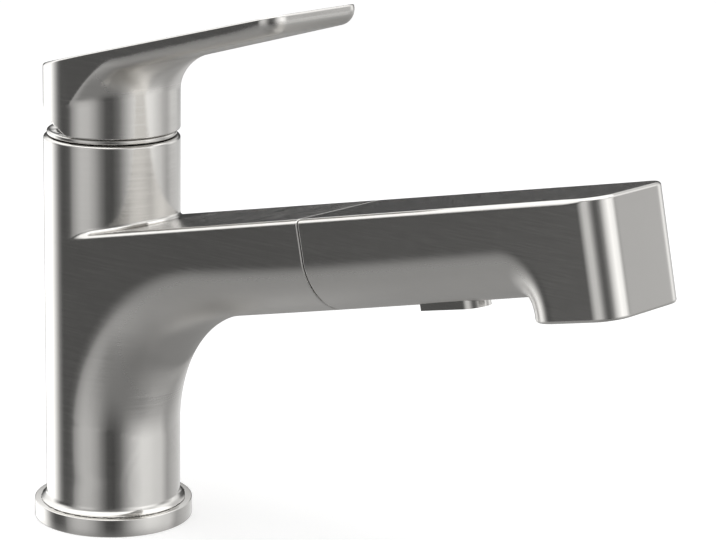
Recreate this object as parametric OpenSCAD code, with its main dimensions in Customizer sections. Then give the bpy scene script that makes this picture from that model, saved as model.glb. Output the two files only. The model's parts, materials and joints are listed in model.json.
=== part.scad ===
// Single-lever kitchen faucet with a pull-out spray wand.
// Millimetres. The origin is the column's axis on the deck, +X runs out along the spout, +Z is up.
// The arm, the wand and the lever are drawn in tilted frames: X along the piece, Z square to its top.

/* [Column] */
// Outer radius of the round column
col_r = 24; // [23:0.25:26]
// Wall of the column
col_wall = 3; // [2.75:0.05:3.25]
// Height of the column's top rim above the deck
col_top_z = 139.6; // [138:0.2:141]
// Radius of the blend from the column into the underside of the arm
blend_r = 54.5; // [50:0.5:58]
// Half of the swing of the spout, in degrees
swing_half = 60; // [50:1:65]

/* [Base] */
// How far the deck ring stands out round the column
ring_out = 4.3; // [3.5:0.1:6]
// Height of the deck ring
ring_h = 6.5; // [6.2:0.1:7.5]
// Outer radius of the threaded shank
shank_r = 16.5; // [16:0.25:17]
// Bore radius of the shank
shank_bore_r = 13.5; // [13.3:0.1:14]
// Length of the shank under the deck
shank_len = 60; // [50:1:70]
// Outer radius of a supply tube
tube_r = 4; // [3.5:0.1:4.1]
// Length that a supply tube stands out of the shank
tube_out = 25; // [20:1:40]

/* [Arm] */
// Upward tilt of the arm, in degrees
arm_tilt = 12.2; // [11:0.1:13]
// Height of the arm's top plane on the column's axis
arm_top_z = 106.5; // [106:0.1:107.5]
// Depth of the arm, projected back to the column's axis
arm_depth = 34.6; // [34:0.1:36]
// Taper of each side face in plan, in degrees
arm_taper = 1.3; // [1:0.1:1.5]
// Taper of the underside, in degrees
under_taper = 1; // [0.8:0.1:1.2]
// Radius of the rounded underside
arm_round = 19; // [17:0.25:19.5]
// Radius of the long top edges
arm_edge = 2; // [1:0.25:2.5]
// Wall of the arm
arm_wall = 3; // [2.75:0.05:3.25]
// Distance along the arm to the parting line
split_s = 108.4; // [104:0.2:112]
// Width of the parting gap
split_gap = 0.5; // [0.3:0.1:0.8]

/* [Wand] */
// Distance along the arm to the wand's end face
end_s = 228.3; // [226:0.1:232]
// Length of the spray nose
nose_len = 36; // [35.8:0.1:37]
// How far the spray nose hangs below the arm's underside
nose_drop = 6.16; // [5.8:0.02:7.8]
// Radius of the nose's front corners
nose_front_r = 7.2; // [6:0.1:8]
// Radius of the nose's rear corners
nose_rear_r = 13; // [11:0.25:14]
// Radius of the blend between the underside and the nose
nose_blend_r = 5.5; // [4.5:0.1:6.5]
// Wall of the wand's shell
wand_wall = 2.6; // [2.4:0.05:2.8]
// Room between the docking collar and the inside of the arm
dock_side = 1.35; // [1.25:0.05:1.65]
// Length of the docking collar behind the parting line
dock_len = 20; // [18:0.5:22]
// Radius of the round spray opening in the nose
spray_r = 15.6; // [15.2:0.05:15.8]
// Number of spray nozzles
nozzle_count = 24; // [16:1:28]
// Length of the spray button
button_len = 23.2; // [22:0.2:24]
// Half of the width of the spray button
button_half = 5.6; // [5.2:0.1:6]

/* [Lever] */
// Upward tilt of the lever's top plane, in degrees
lever_tilt = 14.8; // [13.5:0.1:16]
// Height of the lever's top plane on the column's axis
lever_top_z = 169.1; // [168:0.1:171]
// Distance along the lever to its end face
lever_len = 98.8; // [90:0.2:110]
// Thickness of the lever's plate
lever_thick = 7.8; // [7.5:0.1:8.2]
// Taper of the lever's underside, in degrees
lever_under_taper = 1; // [0.8:0.1:1.1]
// Taper of each side of the lever in plan, in degrees
lever_taper = 1.1; // [0.8:0.1:1.4]
// Radius of the lever's end corners in plan
lever_corner = 7.1; // [6:0.1:8]
// Radius of the blend between the handle and the lever
lever_blend = 9.5; // [8.5:0.5:11]
// Height of the handle's lower edge above the rim
handle_lift = 2.4; // [2.3:0.05:2.8]
// Slope of the relief at the rear of the handle, in degrees
relief_angle = 24; // [23.5:0.1:25]

/* [Cartridge] */
// Outer radius of the ceramic cartridge
cart_r = 17.4; // [17.2:0.05:17.5]
// Height of the cartridge
cart_h = 25; // [24.5:0.1:25.3]
// Thickness of the fixed ceramic disc
disc_h = 4; // [3.8:0.05:4.2]
// Radius of the moving ceramic disc
slide_disc_r = 11.5; // [11:0.1:11.8]
// Distance from the stem's pivot down to the centre of its ball
stem_arm = 13.2; // [13:0.05:13.4]
// Side of the square stem
stem_side = 7; // [6.5:0.1:7.2]

/* [Hidden] */
$fn = 96;

// Shared clearances
over = 1;
run = 0.05;
seat = 0.1;
loose = 0.3;
// How far a blending surface laps past the face that it meets
lap = 0.03;

// Heights on the column's axis
body_z = ring_h + loose;
ring_r = col_r + ring_out;
col_bore_r = col_r - col_wall;
glide_gap = 2.2;
journal_r = col_bore_r - glide_gap;
journal_h = 13;
journal_top_z = body_z + journal_h;
rim_edge = 1;
floor_h = 3;
handle_z = col_top_z + handle_lift;
trim_gap = 0.4;
trim_h = handle_lift - loose - trim_gap;
trim_inset = 1.2;
trim_r = col_r - trim_inset;
trim_skirt = 4;
trim_seat_z = col_top_z + loose;
pivot_drop = 0.6;
pivot_z = col_top_z - pivot_drop;
nut_h = 3;
cart_z = pivot_z - nut_h - cart_h;
cart_top_z = cart_z + cart_h;
cart_gap = 0.2;
cup_wall = 2;
cup_bore_r = cart_r + cart_gap;
cup_r = cup_bore_r + cup_wall;
cup_top_z = cart_top_z + nut_h;
cup_floor_z = cart_z - floor_h;
port_r = 3;
port_back = 1;
port_x = -port_back;
port_y = 5.2;
spine_x = 0.2;

// Supply tubes, set round the rear of the shank's bore
tube_pitch_r = shank_bore_r - tube_r - loose;
tube_wall = 1;
tube_angle = 122;
tube_top_z = 12;
tube_low_z = -shank_len - tube_out;
tube_body_r = tube_r - loose;
tube_end_z = -shank_len - 2 * tube_wall;

// Arm and wand
cav_start_s = 6;
seam_s = 28;
sleeve_lead = 4;
sleeve_len = dock_len + sleeve_lead;
nose_s = end_s - nose_len;
nose_depth = arm_depth - nose_s * tan(under_taper) + nose_drop;
spray_s = nose_s + nose_len / 2;
button_front_s = 165.2;
button_rear_s = button_front_s - button_len;
hinge_back = 2.5;
hinge_s = button_rear_s - hinge_back;
hinge_rise = 6.565;
hinge_r = 1.25;

function arm_half(s, inset = 0) = col_r - lap - s * tan(arm_taper) - inset;
function arm_under(s, inset = 0) = arm_depth - s * tan(under_taper) - inset;
hinge_n = -arm_under(hinge_s) + hinge_rise;
dock_n = -arm_under(split_s) / 2 - run;
dock_r = arm_under(split_s) / 2 - arm_wall - dock_side;

module arm_frame() translate([0, 0, arm_top_z]) rotate([0, -arm_tilt, 0]) children();
module lever_frame() translate([0, 0, lever_top_z]) rotate([0, -lever_tilt, 0]) children();

// A ring or tube on the Z axis
module tube(r_out, r_in, z0, z1) {
    translate([0, 0, z0])
        difference() {
            cylinder(r = r_out, h = z1 - z0);
            translate([0, 0, -over]) cylinder(r = r_in, h = z1 - z0 + 2 * over);
        }
}

// A rod along the arm, centred v across and n up
module rod_s(r, s0, s1, v = 0, n = 0) {
    translate([s0, v, n]) rotate([0, 90, 0]) cylinder(r = r, h = s1 - s0);
}

// What an edge loses to a fillet of radius r: the edge is along X, the body lies in -Y and -Z
module edge_cutter(r, len) {
    difference() {
        translate([0, -r, -r]) cube([len, r + over, r + over]);
        translate([-over, -r, -r]) rotate([0, 90, 0]) cylinder(r = r + lap, h = len + 2 * over);
    }
}

// What an upright corner loses to a fillet of radius r: the body lies in -X and -Y
module corner_cutter(r, h) {
    difference() {
        translate([-r, -r, 0]) cube([r + over, r + over, h]);
        translate([-r, -r, -over]) cylinder(r = r + lap, h = h + 2 * over);
    }
}

// A tapered bar: flat top at n = 0, flat sides, both lower edges round and both top edges eased
module tapered_bar(s0, s1, half0, taper, deep0, under, r_low, r_top) {
    len = s1 - s0;
    h0 = half0 - s0 * tan(taper);
    h1 = half0 - s1 * tan(taper);
    d0 = deep0 - s0 * tan(under);
    d1 = deep0 - s1 * tan(under);
    difference() {
        intersection() {
            translate([0, 0, -d0])
                linear_extrude(height = d0)
                    polygon([[s0, -h0], [s1, -h1], [s1, h1], [s0, h0]]);
            translate([0, h0, 0])
                rotate([90, 0, 0])
                    linear_extrude(height = 2 * h0)
                        polygon([[s0, 0], [s0, -d0], [s1, -d1], [s1, 0]]);
        }
        for (side = [0, 1]) mirror([0, side, 0]) {
            translate([s0, h0, -d0]) rotate([0, -under, -taper])
                translate([-over, 0, 0]) mirror([0, 0, 1]) edge_cutter(r_low, len + 2 * over);
            if (r_top > 0)
                translate([s0, h0, 0]) rotate([0, 0, -taper])
                    translate([-over, 0, 0]) edge_cutter(r_top, len + 2 * over);
        }
    }
}

// The arm's own section between two stations, drawn smaller all round by an inset
module arm_bar(s0, s1, inset = 0, edge = 0) {
    translate([0, 0, -inset])
        tapered_bar(s0, s1, arm_half(0, inset), arm_taper, arm_depth - 2 * inset,
                    under_taper, arm_round - inset, edge);
}

// Plan of the column with the arm's straight sides, as a tall prism
module plan_prism(z0, z1, inset = 0) {
    reach = col_r + blend_r;
    translate([0, 0, z0])
        linear_extrude(height = z1 - z0)
            polygon([[0, -arm_half(0, inset)], [reach, -arm_half(reach, inset)],
                     [reach, arm_half(reach, inset)], [0, arm_half(0, inset)]]);
}

// Centre of the big blend under the arm
under_angle = arm_tilt + under_taper;
under_x0 = arm_depth * sin(arm_tilt);
under_z0 = arm_top_z - arm_depth * cos(arm_tilt);
blend_x = col_r + blend_r;
blend_z = under_z0 + (blend_x - under_x0) * tan(under_angle) - blend_r / cos(under_angle);

// The blend: the column's half-round front turned up into the underside of the arm
module under_blend(inset = 0) {
    r = col_r - 2 * lap - inset;
    intersection() {
        plan_prism(blend_z, arm_top_z - arm_depth / 2, inset);
        translate([blend_x, 0, blend_z])
            rotate([90, 0, 0])
                rotate([0, 0, 90 + under_angle])
                    rotate_extrude(angle = 90 - under_angle, $fn = 160)
                        union() {
                            translate([blend_x, 0]) circle(r = r);
                            translate([blend_x, -r]) square([col_r / 2, 2 * r]);
                        }
    }
}

// Fixed post: deck ring, shank, brass body and supply tubes

ring_edge = 0.8;
gasket_h = 2;
gasket_w = 4;
gasket_rim = 2;
gasket_r = ring_r - gasket_rim;
flange_h = 2.5;
flange_z = ring_h - flange_h;
flange_r = col_bore_r + rim_edge;
relief_h = 1;

module base_ring() color("silver")
    rotate_extrude()
        difference() {
            union() {
                translate([shank_r + seat, 0]) square([ring_r - shank_r - seat - ring_edge, ring_h]);
                translate([ring_r - ring_edge, 0]) square([ring_edge, ring_h - ring_edge]);
                translate([ring_r - ring_edge, ring_h - ring_edge]) circle(r = ring_edge);
            }
            translate([gasket_r - gasket_w, -over]) square([gasket_w, gasket_h + over]);
            translate([0, flange_z]) square([flange_r + seat, ring_h]);
        }

module base_gasket() color("dimgray")
    tube(gasket_r - run, gasket_r - gasket_w + run, 0, gasket_h);

module shank() color("goldenrod")
    union() {
        tube(shank_r, shank_bore_r, -shank_len, -relief_h);
        tube(shank_r - loose, shank_bore_r, -relief_h - run, flange_z);
        tube(flange_r, shank_bore_r, flange_z, ring_h);
    }

// A bore down the post at a place round the rear of the shank's bore
module at_tube(angle) rotate([0, 0, angle]) translate([tube_pitch_r, 0, 0]) children();

module valve_body() color("darkgoldenrod")
    difference() {
        union() {
            tube(journal_r, shank_bore_r, ring_h, journal_top_z);
            intersection() {
                translate([0, 0, ring_h]) cylinder(r = journal_r, h = cup_floor_z - ring_h);
                translate([-journal_r, -journal_r, ring_h])
                    cube([journal_r - spine_x, 2 * journal_r, cup_floor_z - ring_h]);
            }
            translate([0, 0, cup_floor_z]) cylinder(r = cup_r, h = cup_top_z - cup_floor_z);
        }
        translate([0, 0, cart_z]) cylinder(r = cup_bore_r, h = cup_top_z);
        for (side = [-1, 1]) {
            at_tube(side * tube_angle) translate([0, 0, -over])
                cylinder(r = tube_body_r + run, h = tube_top_z + over);
            at_tube(side * tube_angle) cylinder(r = port_r, h = cup_floor_z + over);
            hull() {
                at_tube(side * tube_angle) translate([0, 0, cup_floor_z - port_r])
                    cylinder(r = port_r - run, h = port_r, $fn = 32);
                translate([port_x, side * port_y, cup_floor_z - port_r])
                    cylinder(r = port_r - run, h = port_r, $fn = 32);
            }
            translate([port_x, side * port_y, cup_floor_z - over])
                cylinder(r = port_r, h = floor_h + 2 * over);
        }
        at_tube(180) translate([0, 0, -over]) cylinder(r = tube_body_r + run, h = tube_top_z + over);
        at_tube(180) cylinder(r = port_r, h = cart_z + over);
        // Groove for the upper glide ring
        tube(cup_r + over, cup_r - glide_deep, glide_z, glide_z + glide_h);
        // Hole for the swivel stop
        translate([-journal_r - over, 0, stop_z]) rotate([0, 90, 0])
            cylinder(r = stop_r, h = stop_deep + over);
    }

module supply_tube(angle) color("peru")
    at_tube(angle)
        union() {
            tube(tube_r, tube_r - tube_wall, tube_low_z, tube_end_z);
            tube(tube_body_r, tube_r - tube_wall, tube_end_z - run, tube_top_z);
        }

module hot_tube() supply_tube(tube_angle);
module cold_tube() supply_tube(-tube_angle);
module outlet_tube() supply_tube(180);

// Glide rings and the swivel stop

glide_h = 4;
glide_deep = 0.6;
glide_drop = 14;
glide_z = cup_top_z - glide_drop;
low_glide_h = 4;

module lower_glide_ring() color("whitesmoke")
    union() {
        tube(col_bore_r - run, journal_r + run, body_z, body_z + low_glide_h);
        tube(flange_r, journal_r + run, ring_h, body_z - run);
        tube(journal_r + 2 * run + (col_bore_r - journal_r) / 2, journal_r + run, ring_h, body_z + run);
    }

module upper_glide_ring() color("whitesmoke")
    tube(col_bore_r - run, cup_r - glide_deep, glide_z, glide_z + glide_h);

stop_r = 1.6;
stop_deep = 5;
stop_rise = 4;
stop_z = body_z + low_glide_h + stop_rise;
stop_head = 0.8;
stop_slot = stop_r + loose;
stop_reach = col_bore_r + stop_head;

module swivel_stop() color("gray")
    translate([-stop_reach, 0, stop_z]) rotate([0, 90, 0])
        cylinder(r = stop_r - run, h = stop_reach - journal_r + stop_deep);

// Ceramic cartridge

cart_wall = 2;
cart_base_h = 3;
cart_lip_h = 2;
cart_foot = 1;
neck_r = 10;
neck_open_r = 10.6;
disc_z = cart_z + cart_foot + cart_base_h;
slide_z = disc_z + disc_h + run;
slide_h = disc_h;
driver_z = slide_z + slide_h;
driver_h = 5;
carrier_z = driver_z + driver_h + loose;
carrier_flange_h = cart_top_z - cart_lip_h - run - carrier_z;
neck_rise = 3;
neck_top_z = pivot_z + neck_rise;
ball_r = 2.5;
ball_neck_r = 1.75;
slide_back = 2.7;
slide_offset = -slide_back;
seal_r = 3.5;
seal_bore_r = 2.5;
// Disc chamber: it bridges the ports only when the moving disc has slid forward
chamber_rim = 1.2;
chamber_x = -4.9;
// Slot that brings the outlet port forward in the fixed disc
outlet_reach = 3.2;
lug_w = 3;
lug_deep = 1.5;
lug_h = 2;

// The three ports of the cartridge: hot, cold and mixed water
module port_places() {
    for (side = [-1, 1]) translate([port_x, side * port_y, 0]) children();
    at_tube(180) children();
}

module cartridge_housing() color("white")
    difference() {
        union() {
            translate([0, 0, cart_z + cart_foot]) cylinder(r = cart_r, h = cart_h - cart_foot);
            tube(cart_r, cart_r - cart_wall, cart_z, cart_z + cart_foot + run);
        }
        translate([0, 0, disc_z]) cylinder(r = cart_r - cart_wall, h = cart_h - cart_foot
                                           - cart_base_h - cart_lip_h);
        translate([0, 0, disc_z]) cylinder(r = neck_open_r, h = cart_h);
        translate([0, 0, cart_z]) port_places() cylinder(r = port_r - loose, h = cart_h / 2);
    }

module cartridge_seals() color("black")
    translate([0, 0, cart_z]) port_places()
        tube(seal_r, seal_bore_r, 0, cart_foot);

module fixed_disc() color("gainsboro")
    difference() {
        translate([0, 0, disc_z]) cylinder(r = cart_r - cart_wall - seat, h = disc_h);
        translate([0, 0, disc_z - over]) port_places()
            cylinder(r = port_r - loose, h = disc_h + 2 * over);
        translate([-tube_pitch_r, -port_r + loose, disc_z - over])
            cube([outlet_reach, 2 * (port_r - loose), disc_h + 2 * over]);
        translate([outlet_reach - tube_pitch_r, 0, disc_z - over])
            cylinder(r = port_r - loose, h = disc_h + 2 * over);
    }

module cartridge_nut() color("darkgoldenrod")
    difference() {
        translate([0, 0, cart_top_z]) cylinder(r = cup_bore_r, h = cup_top_z - cart_top_z);
        translate([0, 0, cart_top_z - over]) cylinder(r = neck_open_r, h = cart_h);
        for (i = [0:3]) rotate([0, 0, 45 + 90 * i])
            translate([cup_bore_r - cart_wall - over, -stop_r, cup_top_z - cart_wall / 2])
                cube([cart_wall + 2 * over, 2 * stop_r, cart_wall]);
    }

module trim_ring() color("silver")
    union() {
        tube(col_bore_r - loose, cup_r + run, cup_top_z - trim_skirt, trim_seat_z);
        rotate_extrude()
            difference() {
                union() {
                    translate([neck_open_r, trim_seat_z])
                        square([trim_r - neck_open_r - rim_edge / 2, trim_h]);
                    translate([trim_r - rim_edge / 2, trim_seat_z])
                        square([rim_edge / 2, trim_h - rim_edge / 2]);
                    translate([trim_r - rim_edge / 2, trim_seat_z + trim_h - rim_edge / 2])
                        circle(r = rim_edge / 2);
                }
                translate([neck_open_r - over, trim_seat_z - over])
                    square([cup_bore_r - neck_open_r + over, over + trim_h / 2]);
            }
    }

// Moving pieces of the cartridge

// Lugs that key the driver to the moving disc
module driver_lugs(play) {
    for (side = [0, 1]) mirror([0, side, 0])
        translate([slide_offset - lug_w / 2 - play, slide_disc_r - lug_deep - play, driver_z - lug_h])
            cube([lug_w + 2 * play, lug_deep + over, lug_h + over]);
}

module moving_disc() color("gainsboro")
    difference() {
        translate([slide_offset, 0, slide_z]) cylinder(r = slide_disc_r, h = slide_h);
        intersection() {
            translate([slide_offset, 0, slide_z - over])
                cylinder(r = slide_disc_r - chamber_rim, h = slide_h / 2 + over);
            translate([chamber_x - 2 * slide_disc_r, -slide_disc_r, slide_z - over])
                cube([2 * slide_disc_r, 2 * slide_disc_r, slide_h]);
        }
        driver_lugs(run);
    }

module disc_driver() color("lightsteelblue")
    difference() {
        union() {
            translate([slide_offset, 0, driver_z]) cylinder(r = slide_disc_r - seat, h = driver_h);
            intersection() {
                driver_lugs(0);
                translate([slide_offset, 0, slide_z]) cylinder(r = slide_disc_r - seat, h = cart_h);
            }
        }
        translate([-ball_r - seat, -ball_r - seat, driver_z - over])
            cube([2 * (ball_r + seat), 2 * (ball_r + seat), driver_h + 2 * over]);
    }

slot_half = stem_side / 2 + loose;
slot_swing = stem_arm * sin(relief_angle);

module stem_carrier() color("ivory")
    difference() {
        union() {
            translate([0, 0, carrier_z]) cylinder(r = cart_r - cart_wall - seat, h = carrier_flange_h);
            translate([0, 0, carrier_z]) cylinder(r = neck_r, h = neck_top_z - carrier_z);
        }
        // The slot lets the stem tip back above the pin and forward below it
        translate([0, stem_side / 2 + loose, 0]) rotate([90, 0, 0])
            linear_extrude(height = stem_side + 2 * loose)
                polygon([[-slot_half, carrier_z - over], [slot_half + slot_swing, carrier_z - over],
                         [slot_half, pivot_z], [slot_half, neck_top_z + over],
                         [-slot_half - slot_swing, neck_top_z + over], [-slot_half, pivot_z]]);
        translate([0, -neck_r - over, pivot_z]) rotate([-90, 0, 0])
            cylinder(r = pin_r, h = 2 * (neck_r + over));
    }

pin_r = 1.5;

module pivot_pin() color("gray")
    translate([0, -neck_r + loose, pivot_z]) rotate([-90, 0, 0])
        cylinder(r = pin_r - run / 2, h = 2 * (neck_r - loose));

// Lever

socket_rise = 6;
socket_z = handle_z + socket_rise;
stem_rise = 20;
stem_top_z = handle_z + stem_rise;
screw_rise = 15;
screw_z = handle_z + screw_rise;
screw_r = 2.5;
screw_len = 10;
handle_wall = 3.2;
cavity_r = col_r - handle_wall;
lever_mid = col_r - 2 * lap - lever_len / 2 * tan(lever_taper);
lever_low_edge = 4.4;
relief_x = 2;
lever_top_edge = 0.6;

module lever_stem() color("silver")
    difference() {
        union() {
            translate([-stem_side / 2, -stem_side / 2, pivot_z - stem_side / 2])
                cube([stem_side, stem_side, stem_top_z - pivot_z + stem_side / 2]);
            translate([0, 0, pivot_z - stem_arm]) cylinder(r = ball_neck_r, h = stem_arm);
            translate([0, 0, pivot_z - stem_arm]) sphere(r = ball_r);
        }
        translate([0, -stem_side, pivot_z]) rotate([-90, 0, 0])
            cylinder(r = pin_r + run, h = 2 * stem_side);
    }

// Points of one section of the lever's blend, at an angle round the handle: the inner side, then
// the hollow arc from the handle up to the lever's underside
blend_steps = 12;
blend_turns = 28;
function blend_section(angle) =
    let (slope = tan(lever_tilt + lever_under_taper),
         under_z = lever_top_z - lever_thick * (cos(lever_tilt) + sin(lever_tilt) * slope),
         r0 = col_r - 2 * lap, arc = [for (i = [0:blend_steps]) 90 * i / blend_steps])
    [for (p = concat([[r0 + lever_blend, over], [r0 - over, over], [r0 - over, -lever_blend]],
                     [for (a = arc) [r0 + lever_blend * (1 - cos(a)), lever_blend * (sin(a) - 1)]]))
        [p[0] * cos(angle), p[0] * sin(angle), under_z + p[1] + p[0] * cos(angle) * slope]];

// Solid that blends the upright handle into the sloping underside of the lever
module lever_fillet() {
    m = blend_steps + 4;
    points = [for (j = [0:blend_turns]) each blend_section(-90 + 180 * j / blend_turns)];
    sides = [for (j = [0:blend_turns - 1]) for (i = [0:m - 1])
        [j * m + i, j * m + (i + 1) % m, (j + 1) * m + (i + 1) % m, (j + 1) * m + i]];
    ends = [[for (i = [m - 1:-1:0]) i], [for (i = [0:m - 1]) blend_turns * m + i]];
    polyhedron(points = points, faces = concat(sides, ends), convexity = 4);
}

module lever_handle() color("silver")
    difference() {
        union() {
            intersection() {
                translate([0, 0, handle_z]) cylinder(r = col_r, h = lever_top_z);
                lever_frame() translate([-2 * col_r, -2 * col_r, -lever_top_z])
                    cube([4 * col_r, 4 * col_r, lever_top_z]);
            }
            lever_frame() difference() {
                tapered_bar(0, lever_len, col_r - lap, lever_taper, lever_thick, lever_under_taper,
                            lever_low_edge, lever_top_edge);
                for (side = [0, 1]) mirror([0, side, 0])
                    translate([lever_len, col_r - lever_len * tan(lever_taper), -lever_thick - over])
                        corner_cutter(lever_corner, lever_thick + 2 * over);
            }
            intersection() {
                lever_fillet();
                translate([0, 0, handle_z])
                    linear_extrude(height = lever_top_z)
                        polygon([[0, -col_r + 2 * lap], [lever_len / 2, -lever_mid],
                                 [lever_len / 2, lever_mid], [0, col_r - 2 * lap]]);
            }
        }
        // Relief that lets the handle tip back
        translate([relief_x, -2 * col_r, handle_z]) rotate([0, relief_angle, 0])
            translate([-3 * col_r, 0, -2 * col_r]) cube([3 * col_r, 4 * col_r, 2 * col_r]);
        // Hollow over the cartridge's neck
        translate([0, 0, handle_z - over]) cylinder(r = cavity_r, h = socket_z - handle_z + over);
        // Square socket of the stem
        translate([-stem_side / 2 - run, -stem_side / 2 - run, socket_z - over])
            cube([stem_side + 2 * run, stem_side + 2 * run, stem_top_z + run - socket_z + over]);
        // Hole of the set screw, from the rear
        translate([-col_r - over, 0, screw_z]) rotate([0, 90, 0])
            cylinder(r = screw_r, h = col_r + over);
        translate([-col_r - over, 0, screw_z]) rotate([0, 90, 0])
            cylinder(r = plug_r, h = plug_deep + over);
    }

plug_r = 4;
plug_deep = 3;

module set_screw() color("dimgray")
    difference() {
        translate([-stem_side / 2 - screw_len, 0, screw_z]) rotate([0, 90, 0])
            cylinder(r = screw_r - run, h = screw_len);
        translate([-stem_side / 2 - screw_len - over, 0, screw_z]) rotate([0, 90, 0])
            cylinder(r = screw_r / 2, h = screw_len / 2 + over, $fn = 6);
    }

module screw_plug() color("silver")
    intersection() {
        translate([-col_r - over, 0, screw_z]) rotate([0, 90, 0])
            cylinder(r = plug_r - run, h = plug_deep + over);
        translate([0, 0, handle_z]) cylinder(r = col_r, h = lever_top_z);
    }

// Swivelling body: column with the arm's root, the arm brazed to it, and the sleeve in the arm

// The arm and the blend under it, between two stations
module arm_stretch(s0, s1) {
    intersection() {
        union() {
            arm_frame() arm_bar(0, split_s, 0, arm_edge);
            under_blend();
        }
        arm_frame() translate([s0, -2 * col_r, -4 * col_r])
            cube([s1 - s0, 4 * col_r, 5 * col_r]);
    }
}

module spout_arm() color("silver")
    difference() {
        arm_stretch(seam_s + run, split_s + over);
        arm_frame() arm_bar(cav_start_s, split_s + over, arm_wall);
    }

module faucet_body() color("silver")
    difference() {
        union() {
            rotate_extrude()
                union() {
                    translate([0, body_z]) square([col_r, col_top_z - rim_edge - body_z]);
                    translate([0, col_top_z - rim_edge]) square([col_r - rim_edge, rim_edge]);
                    translate([col_r - rim_edge, col_top_z - rim_edge]) circle(r = rim_edge);
                }
            arm_stretch(-col_r, seam_s);
        }
        translate([0, 0, body_z - over]) cylinder(r = col_bore_r, h = col_top_z);
        arm_frame() arm_bar(cav_start_s, split_s + over, arm_wall);
        // Track of the swivel stop
        rotate([0, 0, 180 - swing_half - stop_play])
            rotate_extrude(angle = 2 * (swing_half + stop_play))
                translate([col_bore_r - over, stop_z - stop_slot])
                    square([stop_head + loose + over, 2 * stop_slot]);
    }

stop_margin = 1;
stop_play = asin(stop_r / col_bore_r) + stop_margin;

module dock_sleeve() color("dimgray")
    arm_frame()
        difference() {
            arm_bar(split_s - sleeve_len, split_s - split_gap, arm_wall + seat);
            rod_s(dock_r + run, split_s - sleeve_len - over, split_s + over, 0, dock_n);
        }

// Wand

shell_s = split_s + split_gap;
collar_s = split_s - dock_len;
flange_s = shell_s + wand_wall;
inlet_r = 7.5;
collar_wall = 1.5;
inlet_out_r = dock_r - collar_wall;
inlet_step = 2;
inlet_s = collar_s + inlet_step;
inlet_len = 12;
washer_h = 1.5;
inlet_tail = 8;
inlet_end_s = flange_s + inlet_tail;
valve_r = 5;
way_r = 6;
way_wall = 1.5;
block_back = 5;
block_s = nose_s + block_back;
block_rise = 8.4;
block_n = -nose_depth + block_rise;
block_top = 8;
block_top_n = -block_top;
block_half = 12;
slot_gap = 0.9;
shoulder_h = 1.6;
shoulder_side = 1.6;
shoulder_len = button_len + shoulder_side;
spool_r = 2.2;
spool_rise = 1.6;
spool_n = block_n + spool_r + spool_rise;
spool_s = button_rear_s + shoulder_len + loose;
spool_len = 48;
spool_room = 3;
chamber_h = 3.6;
face_step = 0.8;
face_n = -nose_depth + face_step;
nozzle_ring_r = 12.4;
nozzle_r = 0.75;
nozzle_wall = 0.5;
nozzle_bore_r = 0.5;
aerator_r = 9.4;
ear_w = 2.4;
ear_half = button_half + shoulder_side;

// Straight-sided plan between two stations of the arm
module arm_plan(s0, s1, inset) {
    polygon([[s0, -arm_half(s0, inset)], [s1, -arm_half(s1, inset)],
             [s1, arm_half(s1, inset)], [s0, arm_half(s0, inset)]]);
}

// Square nose with its rear corners rounded, up into the arm
module nose_prism(inset) {
    rear = nose_s + inset;
    low_n = -nose_depth + inset;
    difference() {
        translate([0, 0, low_n])
            linear_extrude(height = -low_n - inset - arm_round / 2)
                arm_plan(rear, end_s - inset, inset + lap);
        for (side = [0, 1]) mirror([0, side, 0])
            translate([rear, arm_half(rear, inset + lap), low_n - over]) mirror([1, 0, 0])
                corner_cutter(nose_rear_r - inset, nose_depth);
    }
}

// Outer form of the wand, or the same form drawn smaller all round
module wand_form(s0, inset, edge) {
    s1 = end_s - inset;
    difference() {
        union() {
            arm_bar(s0, s1, inset, edge);
            nose_prism(inset);
            if (inset == 0) nose_blend();
        }
        for (side = [0, 1]) mirror([0, side, 0])
            translate([s1, arm_half(s1, inset), -nose_depth - over])
                corner_cutter(max(nose_front_r - inset, over), nose_depth + 2 * over);
    }
}

// Half-round sweep from the underside of the wand down the rear of the nose
module nose_blend() {
    turn_s = nose_s - nose_blend_r;
    turn_n = -arm_under(nose_s) - nose_blend_r;
    r = arm_half(nose_s);
    intersection() {
        translate([turn_s, 0, turn_n])
            rotate([90, 0, 0])
                rotate_extrude(angle = 90, $fn = 96)
                    union() {
                        translate([nose_blend_r + arm_round, 0]) circle(r = arm_round);
                        translate([nose_blend_r + arm_round, -r]) square([arm_round / 2, 2 * r]);
                    }
        translate([0, 0, -nose_depth])
            linear_extrude(height = nose_depth - arm_round / 2)
                arm_plan(turn_s, end_s - arm_round, 2 * lap);
    }
}

// Plan of the button, with its round front end
module button_plan(grow) {
    union() {
        translate([button_rear_s - grow, -button_half - grow])
            square([button_len - button_half + grow, 2 * (button_half + grow)]);
        translate([button_front_s - button_half, 0]) circle(r = button_half + grow);
    }
}

module wand_shell() color("silver")
    arm_frame()
        union() {
            difference() {
                wand_form(shell_s, 0, arm_edge);
                wand_form(shell_s - over, wand_wall, 0);
                translate([spray_s, 0, -nose_depth - over]) cylinder(r = spray_r, h = nose_depth / 2);
                translate([0, 0, -nose_depth]) linear_extrude(height = nose_depth / 2)
                    button_plan(slot_gap);
            }
            // Ears that hold the button's pin
            for (side = [-1, 1])
                difference() {
                    translate([hinge_s - ear_w, side * (ear_half + ear_w / 2) - ear_w / 2,
                               -arm_under(hinge_s) + wand_wall / 2])
                        cube([2 * ear_w, ear_w, hinge_n + ear_w + arm_under(hinge_s) - wand_wall / 2]);
                    translate([hinge_s, side * ear_half - 2 * ear_w, hinge_n]) rotate([-90, 0, 0])
                        cylinder(r = hinge_r, h = 4 * ear_w);
                }
        }

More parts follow.
